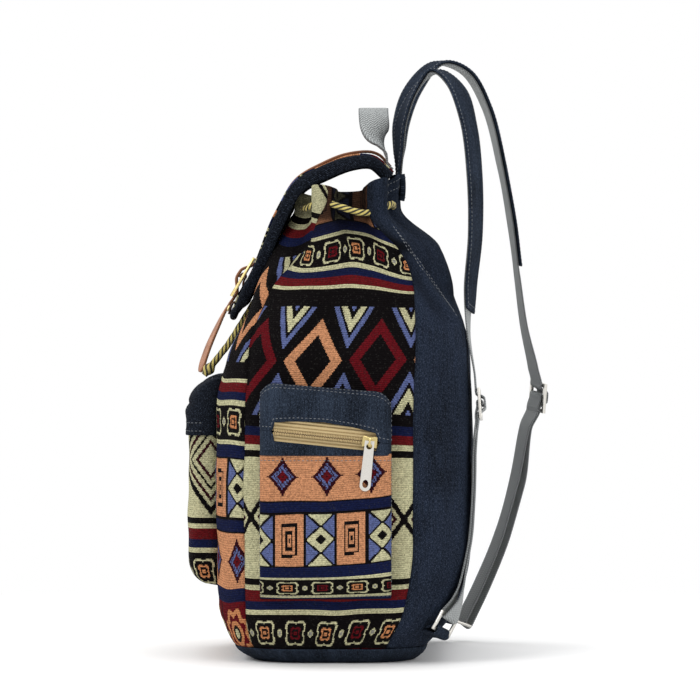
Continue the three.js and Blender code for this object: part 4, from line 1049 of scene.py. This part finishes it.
def metalCopy(node, finish, rounding, body="bag"):  # a solid's own form with softened edges
    made = bmesh.new()
    made.from_mesh(nodes[node].data)
    bmesh.ops.remove_doubles(made, verts=made.verts, dist=1e-6)
    bmesh.ops.dissolve_limit(made, angle_limit=0.02, verts=made.verts, edges=made.edges)
    for vert in made.verts:
        vert.co /= mm
    sharp = [edge for edge in made.edges if edge.is_manifold and edge.calc_face_angle() > 0.5]
    bmesh.ops.bevel(made, geom=sharp, offset=rounding, offset_type="OFFSET", affect="EDGES", segments=3,
                    profile=0.5, material=-1, clamp_overlap=True)
    bmesh.ops.triangulate(made, faces=[face for face in made.faces if len(face.verts) > 4])
    finishPiece(node + "_metal", made, finish, [node], "metal", body=body)


coilYarn = makeThread("coilYarn", paint(208, 184, 136), paint(170, 144, 100))
for name, side in (("right", 1), ("left", -1)):
    buildZip(name, side)
    metalCopy(f"zip_slider_{name}", gilt, 0.45, f"slider_{name}")
    metalCopy(f"zip_puller_{name}", silver, 0.5, f"puller_{name}")
print("zips made")


# flap: middle line and edge line in the side view, half width along them
flap = {
    "middle": [(45.5, 404), (30, 416), (8, 415.5), (-14, 407), (-36, 394), (-51, 367.5), (-69, 326), (-83, 301),
               (-91, 281)],
    "edge": [(45, 404), (29, 417), (8, 417), (-15, 409), (-38, 395.5), (-53, 368.5), (-71, 327), (-84, 301.5),
             (-90.5, 284)],
    "half": [70, 82, 85, 86, 85, 79, 66, 46, 22], "sheetWide": 0.975, "sheetLong": 0.988,
    "panel": 1.6, "lining": 1.0, "bindingWidth": 4.9, "bindingThick": 3.0, "bindingTurn": 1.2,
}
flapMiddle = Line([(0, y, z) for y, z in flap["middle"]])
flapRim = smoothLine([(0, y, z) for y, z in flap["edge"]])


def flapHalf(t):
    half = flap["half"]
    span = min(len(half) - 2, int(t * (len(half) - 1)))
    f = t * (len(half) - 1) - span
    p0, p1, p2, p3 = [half[clamp(span + k, 0, len(half) - 1)] for k in (-1, 0, 1, 2)]
    return curve(p1, p2, (p2 - p0) / 2, (p3 - p1) / 2, f)


def flapSurface(u, t):
    spot = flapMiddle.at(t).lerp(flapRim(t), u * u)
    spot.x = u * flapHalf(t)
    return spot


def flapOut(u, t):
    along = flapSurface(u, min(1, t + 2e-3)) - flapSurface(u, max(0, t - 2e-3))
    across = flapSurface(u + 2e-3, t) - flapSurface(u - 2e-3, t)
    return -across.cross(along).normalized()


def flapPoint(u, t, out):
    return flapSurface(u, t) + flapOut(u, t) * out


def buildFlap():
    wide, long = flap["sheetWide"], flap["sheetLong"]

    def sheet(level):
        def at(a, b):
            u, t = (2 * a - 1) * wide, long * b
            sway = 1.3 * ripple(u * 3, t * 7, 1.0) * (0.35 + 0.65 * abs(u)) * ease(t, 0.1, 0.3)
            return flapPoint(u, t, level + sway)
        return at

    def chart(a, b):
        t = long * b
        return (2 * a - 1) * flapHalf(t) + 20, 480 - flapMiddle.ways[int(t * flapMiddle.steps)]
    away = (lambda spot: Vector((0, 40, 300)))
    made = surface(96, 120, sheet(0.4), chart, away)
    outer = finishPiece("flap_cloth", made, wovenCloth, ["flap_panel"], "woven_cloth", flap["panel"])
    made = surface(60, 80, sheet(-1.9), chart, away)
    inner = finishPiece("flap_lining_cloth", made, flapLiningCloth, ["flap_lining"], "lining", flap["lining"])

    rim = [(1, j / 30) for j in range(31)] + [(u, 1) for u in (0.75, 0.4, 0, -0.4, -0.75)]
    rim += [(-1, j / 30) for j in range(30, -1, -1)]
    edge = Line([flapSurface(u, t) for u, t in rim])
    turn = smoothLine([flapOut(u, t) for u, t in rim])
    core = flapSurface(0, 0.5)
    frames = []
    rows = 300
    for i in range(rows + 1):
        way = edge.length * i / rows
        t = edge.share(way)
        up = turn(t).normalized()
        inward = edge.along(way).cross(up).normalized()
        if inward.dot(core - edge.at(t)) < 0:
            inward = -inward
        deep = 1 + 0.25 * (bell(t - 0.17, 0.08) + bell(t - 0.83, 0.08))
        turned = flap["bindingTurn"] * (1 - ease(t, 0.40, 0.46) * (1 - ease(t, 0.54, 0.60)))
        spot = edge.at(t) - up * 1.4 * math.sin(turned)
        lean, stand = math.cos(turned), math.sin(turned)
        frames.append((spot, (inward * lean - up * stand) * deep, up * lean + inward * stand, way))

    def at(a, b):
        spot, inward, up, way = frames[round(b * rows)]
        angle = 2 * math.pi * a
        x, y = flatten(math.cos(angle), 0.7), flatten(math.sin(angle), 0.8)
        puff = 1 + 0.10 * ripple(way / 5, a * 2, 8.0)
        return spot + inward * (4.2 + flap["bindingWidth"] * x) + up * (-1.1 + flap["bindingThick"] * y * puff)
    binding = hose(20, rows, at, lambda a, b: (a * 22, b * edge.length))
    bound = finishPiece("flap_binding_cloth", binding, edgeDenim, ["flap_binding"], "denim")
    halves = [wide * flapHalf(long * (j + 0.5) / 60) * mm for j in range(60)]
    cut = 2 * max(halves), long * flapMiddle.length * mm
    sum(halves) / 30 * cut[1]
    print(f"flap sheet cut {cut[0]:.3f} x {cut[1]:.3f} m")
    sewRow(frames, 7.6, 1.5)


buildFlap()
print("flap made")


# flat strips: webbing, leather and facing
def strip(name, centres, widths, half, thick, finish, replaced, slot, pitch=2.0, power=7, crown=0.0):
    line = Line(centres, max(900, 24 * len(centres)))
    turn = smoothLine(widths)
    rows = max(8, int(line.length / pitch))
    frames = []
    for i in range(rows + 1):
        way = line.length * i / rows
        t = line.share(way)
        along = line.along(way)
        across = square(turn(t), along)
        frames.append((line.at(t), across, across.cross(along), half(way, line.length), way))

    def sideways(a):
        return flatten(math.cos(2 * math.pi * a), 2 / power)

    def at(a, b):
        spot, across, out, reach, way = frames[round(b * rows)]
        x, y = sideways(a), flatten(math.sin(2 * math.pi * a), 0.5)
        return spot + across * (x * reach) + out * (thick / 2 * y * (1 + crown * (1 - x * x)))

    def chart(a, b):
        spot, across, out, reach, way = frames[round(b * rows)]
        return sideways(a) * reach, way
    finishPiece(name, hose(28, rows, at, chart), finish, replaced, slot)
    return frames


def plain(reach):
    return lambda way, length: reach


buckle = {"height": 313.0, "length": 37.0, "bar": 3.2, "frameLow": 4.5, "frameMid": 5.7, "frameTop": 6.9,
          "strapUnder": 3.2, "overHook": 10.1, "tail": 52.0, "strapHalf": 9.0, "chapeHalf": 0.8, "gap": 0.3}


def buildBuckle():
    t = narrow(0.4, 1.0, lambda t: flapMiddle.at(t).z > buckle["height"], 50)
    origin = flapSurface(0, t)
    down = (flapMiddle.at(t + 1e-3) - flapMiddle.at(t - 1e-3)).normalized()
    out = flapOut(0, t)
    start = flapMiddle.ways[round(t * flapMiddle.steps)]
    end = flapMiddle.length - start

    def onFlap(way, q):
        return flapPoint(0, flapMiddle.share(clamp(start + way, 0, flapMiddle.length)), q)

    def at(way, q):
        return origin + down * way + out * q
    under, over = buckle["strapUnder"], buckle["overHook"]
    upperBar = buckle["length"] / 2
    lifts = [1.6 + 2.4 * ease(i, 0, 3) - 2.5 * ease(i, 10, 20) for i in range(25)]
    centres = [onFlap(5 - start + (-upperBar - 14 - 5 + start) * i / 24, lifts[i]) for i in range(25)]
    route = [(-upperBar - 2, under), (-upperBar + buckle["bar"] + 1.5, under), (-5.5, over - 0.6), (-3, over),
             (2.5, over), (5, over - 1), (upperBar - buckle["bar"] - 1.5, under), (upperBar + 1, under),
             (upperBar + 8, under + 0.4), (end - 3, under + 0.6), (end + 12, under - 0.6),
             (end + 0.6 * buckle["tail"], under - 3), (end + buckle["tail"], under - 7.5)]
    centres += [at(way, q) for way, q in route]
    reach = buckle["strapHalf"]

    def tongue(way, length):
        past = clamp((way - (length - reach * 1.2)) / (reach * 1.2))
        return reach * math.sqrt(max(0.02, 1 - past ** 2.2))
    widths = [(1, 0, 0)] * (len(centres) - 4) + [Vector((1, 0, 0)) - out * turn for turn in (0.05, 0.16, 0.24, 0.28)]
    strap = strip("flap_strap_leather", centres, widths, tongue, 2.4, strapLeather,
                  ["flap_strap"], "leather", 1.5, 9)
    for x in (-6.6, 6.6):
        sewRow(strap[4:-8], x, 1.0)
    layer = buckle["gap"] + buckle["chapeHalf"]
    hookLow, hookHigh = buckle["frameLow"] - layer, buckle["frameTop"] + layer
    barHalf = buckle["bar"] / 2
    hook = -barHalf - layer
    binding = 2.2 + layer  # over the flap's edge
    chape = [onFlap(way, q) for way, q in ((end - 3, binding), (end - 12.5, binding), (20, layer))]
    chape += [at(way, q) for way, q in (
        (14, layer), (8, layer), (4, hookLow - 0.5), (barHalf, hookLow), (hook + 1.6, hookLow),
        (hook + 0.3, hookLow + 0.7), (hook, buckle["frameMid"]), (hook + 0.3, hookHigh - 0.7),
        (hook + 1.6, hookHigh), (barHalf, hookHigh))]
    strip("buckle_chape_leather", chape, [(1, 0, 0)] * len(chape),
          lambda way, length: 15 - 7 * ease(way, 9, 16), 2 * buckle["chapeHalf"], patchLeather,
          ["buckle_chape"], "leather", 0.8, 9)


buildBuckle()
metalCopy("buckle_frame", gilt, 0.7)
for name in ("rivet_right", "rivet_left"):
    metalCopy(name, gilt, 0.3)
print("buckle made")


handle = {"half": 12.5, "thick": 1.9, "spread": 27.0, "top": 457.0, "lean": 28.5}


def buildHandle():
    half = [flapPoint(handle["spread"] / flapHalf(t), t, 1.1) for t in (0.012, 0.03, 0.05)]
    foot = half[2]
    rise, lean = handle["top"] - foot.z, handle["lean"] - foot.y
    for spread, up, forward in ((1, 0.12, 0.05), (1.01, 0.24, 0.2), (1.02, 0.38, 0.5), (1.02, 0.55, 0.8),
                                (0.93, 0.76, 0.95), (0.7, 0.92, 1), (0.35, 0.985, 1)):
        half.append(Vector((handle["spread"] * spread, foot.y + lean * forward, foot.z + rise * up)))
    centres = half + [Vector((0, handle["lean"], handle["top"]))] + [Vector((-p.x, p.y, p.z)) for p in reversed(half)]
    widths = []
    for p in centres:
        share = ease(p.z, foot.z + rise * 0.24, foot.z + rise * 0.76) * math.pi / 2
        side = -1 if p.x < 0 else 1
        across = Vector((math.cos(share), -side * math.sin(share), 0))
        if widths and across.dot(widths[-1]) < 0:
            across = -across
        widths.append(across)
    strip("grab_handle_webbing", centres, widths, plain(handle["half"]), handle["thick"], webbing,
          ["grab_handle"], "webbing", 1.5)


buildHandle()

# shoulder straps: place (x, y, z) and width direction (x, y) from the neck to the lower ring
strapRoutes = {
    "right": [(23, 50, 384, 1, 0), (23, 50, 404, 1, 0.06), (24, 50.5, 424, 0.98, 0.2), (27, 52.5, 446, 0.97, 0.24),
              (35, 64, 472, 0.99, 0.1), (42, 80, 487, 0.97, -0.2), (52, 96, 475, 0.9, -0.42),
              (60, 106.5, 444, 0.9, -0.42), (66, 111.5, 400, 0.9, -0.4), (72, 112, 352, 0.92, -0.36),
              (80, 107.8, 306, 0.95, -0.3), (87, 107.9, 270, 1, -0.1), (92, 112.8, 238, 1, -0.02),
              (96, 116.5, 205, 1, -0.03), (100, 114.6, 170, 1, 0), (104, 113.6, 132, 1, 0),
              (108, 110, 95, 1, 0), (112, 102.6, 64, 1, -0.03), (113.8, 97, 50, 0.96, -0.25),
              (115, 90.5, 39, 0.83, -0.55)],
    "left": [(-23, 50, 384, 1, 0), (-23, 50, 404, 1, 0), (-24, 51, 424, 0.96, 0.28), (-27, 53, 446, 0.9, 0.44),
             (-35, 63, 474, 0.85, 0.53), (-45, 83, 496, 0.93, 0.36), (-59, 107, 489, 0.97, 0.24),
             (-71, 125, 459, 0.98, 0.19), (-80, 138, 409, 0.98, 0.17), (-86, 146.5, 363, 0.98, 0.17),
             (-92, 153, 315, 0.98, 0.17), (-97, 159, 272, 0.97, 0.22), (-101, 167, 236, 0.94, 0.32),
             (-104, 170, 212, 0.93, 0.36), (-106, 162, 182, 0.94, 0.33), (-108, 153, 140, 0.95, 0.3),
             (-110, 139, 90, 0.95, 0.3), (-112, 121, 46, 0.94, 0.34), (-113, 107, 17, 0.93, 0.37)],
}
strapLook = {"facing": 330.0, "facingHalf": 15.0, "facingThick": 1.9, "facingOut": 1.2, "webbingHalf": 12.0,
             "webbingThick": 1.7, "webbingOut": -1.1, "adjuster": 212.0, "slot": 7.8, "bar": 3.2, "thick": 2.4,
             "ring": 11.4, "tabHalf": 11.0, "tabThick": 1.8, "lead": 24, "gap": 0.3, "layer": 0.8}


halfTurn = [(math.sin(math.pi * k / 8), math.cos(math.pi * k / 8)) for k in range(9)]


def buildStrap(name, route, ringTilt, part):  # part: where the two strands start to open
    look = strapLook
    line = Line([p[:3] for p in route])
    turn = smoothLine([(p[3], p[4], 0) for p in route])

    def frameAt(way):
        t = line.share(clamp(way, 0, line.length))
        along = line.along(clamp(way, 0.5, line.length - 0.5))
        across = square(turn(t), along)
        return line.at(t), along, across, across.cross(along)

    def place(way, out, stiff=None):
        if stiff is not None and abs(way - stiff) <= 2 * look["slot"]:
            spot, along, across, up = frameAt(stiff)
            return spot + along * (way - stiff) + up * out, across
        spot, along, across, up = frameAt(way)
        return spot + along * max(0, way - line.length) + up * out, across

    def spread(ways, stiff=None):
        spots = [place(way, out, stiff) for way, out in ways]
        return [spot for spot, across in spots], [across for spot, across in spots]
    facing = [(look["facing"] * i / 70, look["facingOut"]) for i in range(71)]
    centres, widths = spread(facing)
    frames = strip(f"strap_facing_denim_{name}", centres, widths, plain(look["facingHalf"]), look["facingThick"], denim,
                   [f"strap_facing_{name}"], "denim", 2.0, 9, 0.25)
    for x in (-12.6, 12.6):
        sewRow(frames, x, 1.0)
    last = frames[-3]
    sew([last[0] + last[1] * x + last[2] * 1.15 for x in range(-12, 13, 4)], [last[2]] * 7)

    centre = line.length
    while frameAt(centre)[0].z < look["adjuster"]:
        centre -= 0.5
    barHalf, pitch = look["bar"] / 2, look["slot"] + look["bar"]
    clear = look["gap"] + look["layer"]  # from the metal to the middle of the webbing
    layer = look["thick"] / 2 + clear
    second = layer + look["layer"] + clear
    bight = math.hypot(barHalf, look["thick"] / 2) + clear
    bottom, lead = line.length, centre - look["lead"]
    ways = [(way, look["webbingOut"]) for way in (*range(0, int(lead), 5), lead)]
    ways += [(centre - pitch - barHalf, -layer), (centre - pitch + barHalf + 0.4, -layer), (centre - 4.9, second - 0.3),
             (centre - 3.2, second), (centre + 2, second), (centre + 3.4, second),
             (centre + pitch - barHalf - 1, -layer), (centre + pitch + barHalf, -layer)]
    run = bottom - centre - pitch
    opened = [(centre + pitch + run * i / 26, ease(i / 26, part, part + 0.3)) for i in range(2, 25)]
    ways += [(way, -layer + (bight + layer) * f) for way, f in opened]
    ways += [(bottom + bight * x, bight * y) for x, y in halfTurn]
    ways += [(way, -second + (second - bight) * f) for way, f in reversed(opened)]
    hook = centre - barHalf - clear
    ways += [(centre + pitch + barHalf, -second), (centre + pitch - barHalf, -second), (centre + 6, -layer - 1.2),
             (centre + 2, -layer), (centre - barHalf + 0.4, -layer), (centre - barHalf - 0.8, -layer + 0.5),
             (hook, 0), (hook + 0.3, layer - 0.5), (hook + 1.6, layer), (centre + barHalf, layer)]
    centres, widths = spread(ways, centre)
    strip(f"shoulder_webbing_{name}_cloth", centres, widths, plain(look["webbingHalf"]), look["webbingThick"], webbing,
          [f"shoulder_webbing_{name}"], "webbing", 1.6)

    spot, along, across, up = frameAt(bottom)  # cloth tab round the ring's lower bar
    ringAlong = Matrix.Rotation(ringTilt, 3, across) @ along
    tabBar = spot + ringAlong * (look["ring"] + look["bar"])
    inside = Vector((math.copysign(79.5, spot.x), 37.2, 22))
    tabAlong = (inside - tabBar).normalized()
    tabOut = tabAlong.cross(across).normalized()
    loop = math.hypot(barHalf, look["thick"] / 2) + 0.6 + look["tabThick"] / 2
    flat = look["tabThick"] / 2 + 0.15
    tab = [(40, flat), (16, flat), (9, flat + 0.6), (2, loop - 0.1)]
    tab += [(-loop * x, loop * y) for x, y in halfTurn]
    tab += [(2, 0.1 - loop), (9, -flat - 0.6), (16, -flat), (40, -flat)]
    centres = [tabBar + tabAlong * way + tabOut * q for way, q in tab]
    strip(f"ring_tab_denim_{name}", centres, [across] * len(centres), plain(look["tabHalf"]), look["tabThick"], denim,
          [f"ring_tab_{name}"], "denim", 1.5, 8)

    x = route[0][0]  # small tab over the strap's root
    bows = ((380, -2.0), (384, -1.3), (391, -0.9), (398, -1.2), (402, -1.8))
    centres = [Vector((x, 53.8 + bow, z)) for z, bow in bows]
    frames = strip(f"neck_tab_denim_{name}", centres, [(1, 0, 0)] * len(bows), plain(17), 5.2, denim,
                   [f"neck_tab_{name}"], "denim", 1.0, 9)
    for row in (3, -4):
        p, w, o, r, way = frames[row]
        o = o if o.y > 0 else -o
        sew([p + w * k + o * 2.6 for k in range(-14, 15, 4)], [o] * 8)
    metalCopy(f"strap_adjuster_{name}", silver, 0.6)
    metalCopy(f"lower_ring_{name}", silver, 0.7)


buildStrap("right", strapRoutes["right"], 0.0, 0.7)
buildStrap("left", strapRoutes["left"], -1.5, 0.05)
print("straps made")


# drawcord: four strands twisted together, round the neck and hanging at the front
cordLook = {"radius": 2.75, "strands": 4, "lay": 44.0}


def twisted(line, pitch=1.2, swell=None):
    rows = int(line.length / pitch)
    frames = []
    across = line.along(0.0).orthogonal()
    for i in range(rows + 1):
        way = line.length * i / rows
        along = line.along(way)
        across = square(across, along)
        frames.append((line.point(way), across, along.cross(across), way))

    def at(a, b):
        spot, side, up, way = frames[round(b * rows)]
        angle = 2 * math.pi * a
        lobe = abs(math.cos(cordLook["strands"] / 2 * (angle + 2 * math.pi * way / cordLook["lay"])))
        reach = cordLook["radius"] * (0.80 + 0.22 * lobe ** 0.6) * (swell(way) if swell else 1.0)
        return spot + side * (reach * math.cos(angle)) + up * (reach * math.sin(angle))
    return hose(24, rows, at, lambda a, b: (a * 1000, b * line.length))


def neckCord():
    points = []
    for i in range(89):
        s = 0.05 + 0.9 * i / 88
        inset = 6.5 * (1 - frontShare(s)) ** 6
        spot = outlinePoint(s, bag["neck"]) - outlineOut(s, bag["neck"]) * inset
        turned = min(s, 1 - s)
        dip = 4.2 * math.cos(2 * math.pi * (turned - 0.2) / 0.16)
        dip *= ease(turned, 0.13, 0.2) * (1 - ease(turned, 0.33, 0.4))
        points.append(Vector((spot.x, spot.y, bag["neck"] + dip)))
    return Line(points)


finishPiece("neck_drawcord", twisted(neckCord()), twistedCord, ["drawcord"], "cord")
tailRoute = [(23.55, -30, 374), (21, -30.3, 373.8), (16, -33.4, 371.4), (12, -38.4, 365), (10, -44, 356),
             (9, -50, 345), (9, -58, 325), (9, -68.8, 300), (9, -78, 284), (9, -85.3, 272), (9, -93, 260),
             (9, -101.5, 249), (9, -107, 242)]
for name, side in (("right", 1), ("left", -1)):
    tail = Line([(side * x, y, z) for x, y, z in tailRoute])
    hanging = finishPiece(f"cord_tail_{name}_rope", twisted(tail), twistedCord, [f"cord_tail_{name}"], "cord")
    drop = tail.along(tail.length - 1)
    foot = tail.point(tail.length)
    bead = Line([foot + drop * way for way in (-0.6, 1.4, 3.4, 5.4, 7.4, 9.4, 10.6)])
    lump = finishPiece(f"cord_knot_{name}_rope", twisted(bead, 0.5, lambda way: 1.0 + 0.78 * bell(way - 5.2, 3.4)),
                       twistedCord, [f"cord_knot_{name}"], "cord")
    route = [tail.point(tail.length * i / 60) * mm for i in range(61)]
    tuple(route[0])
    print("cord tail", name, round(tail.length, 1), "mm")

finishPiece("sewing_thread", stitchMesh, paleThread, (), "denim")
print("cords and sewing made")


# pale floor that runs out into white, and soft light
lights = {"keyLight": ((2.4, -1.8, 2.4), 1.6, 38), "fillLight": ((2.2, 2.4, 1.3), 2.0, 22),
          "topLight": ((-0.3, 0.1, 2.6), 2.2, 30), "sideLight": ((-1.6, -2.6, 1.5), 1.6, 14)}


def buildStage():
    f = Finish("paleFloor")
    spot = f.place()
    x, y = [f.node("ShaderNodeSeparateXYZ", {}, {0: spot}, k) for k in range(2)]
    reach = (x * x + y * y).maths("SQRT")
    grain = f.speckle(spot, 3.0, 2)
    f.set(base_color=f.mix((0.95, 0.95, 0.95, 1), (0.98, 0.98, 0.98, 1), grain), roughness=1.0, specular_ior_level=0.0)
    glow = f.node("ShaderNodeEmission", {}, {"Color": (1, 1, 1, 1), "Strength": 1.0})
    mixed = f.node("ShaderNodeMixShader", {}, {0: f.ramp(reach, 0.32, 0.75), 1: Wire(f, f.shader.outputs[0]), 2: glow})
    f.feed(f.tree.nodes["Material Output"].inputs["Surface"], mixed)
    made = bmesh.new()
    bmesh.ops.create_grid(made, x_segments=1, y_segments=1, size=6000)
    floor = addMesh("floor", made, f.material)
    for name, (spot, size, watts) in lights.items():
        lamp = bpy.data.lights.new(name, "AREA")
        lamp.size = size
        lamp.energy = watts
        light = bpy.data.objects.new(name, lamp)
        light.location = spot
        light.rotation_euler = (Vector(spot) - Vector((0, 0, 0.22))).to_track_quat("Z", "Y").to_euler()
        bpy.context.scene.collection.objects.link(light)
    world = bpy.data.worlds.new("studio")
    bpy.context.scene.world = world
    world.use_nodes = True
    sky = Finish("studio", world.node_tree)
    sky.tree.nodes.clear()
    camera, glossy, through = [sky.node("ShaderNodeLightPath", output=name)
                               for name in ("Is Camera Ray", "Is Glossy Ray", "Is Transmission Ray")]
    soft = sky.node("ShaderNodeBackground", {}, {"Color": (1, 1, 1, 1), "Strength": 0.78})
    white = sky.node("ShaderNodeBackground", {}, {"Color": (1, 1, 1, 1), "Strength": 1.0})
    mixed = sky.node("ShaderNodeMixShader", {}, {0: camera | glossy | through, 1: soft, 2: white})
    sky.node("ShaderNodeOutputWorld", {}, {"Surface": mixed}, None)


buildStage()
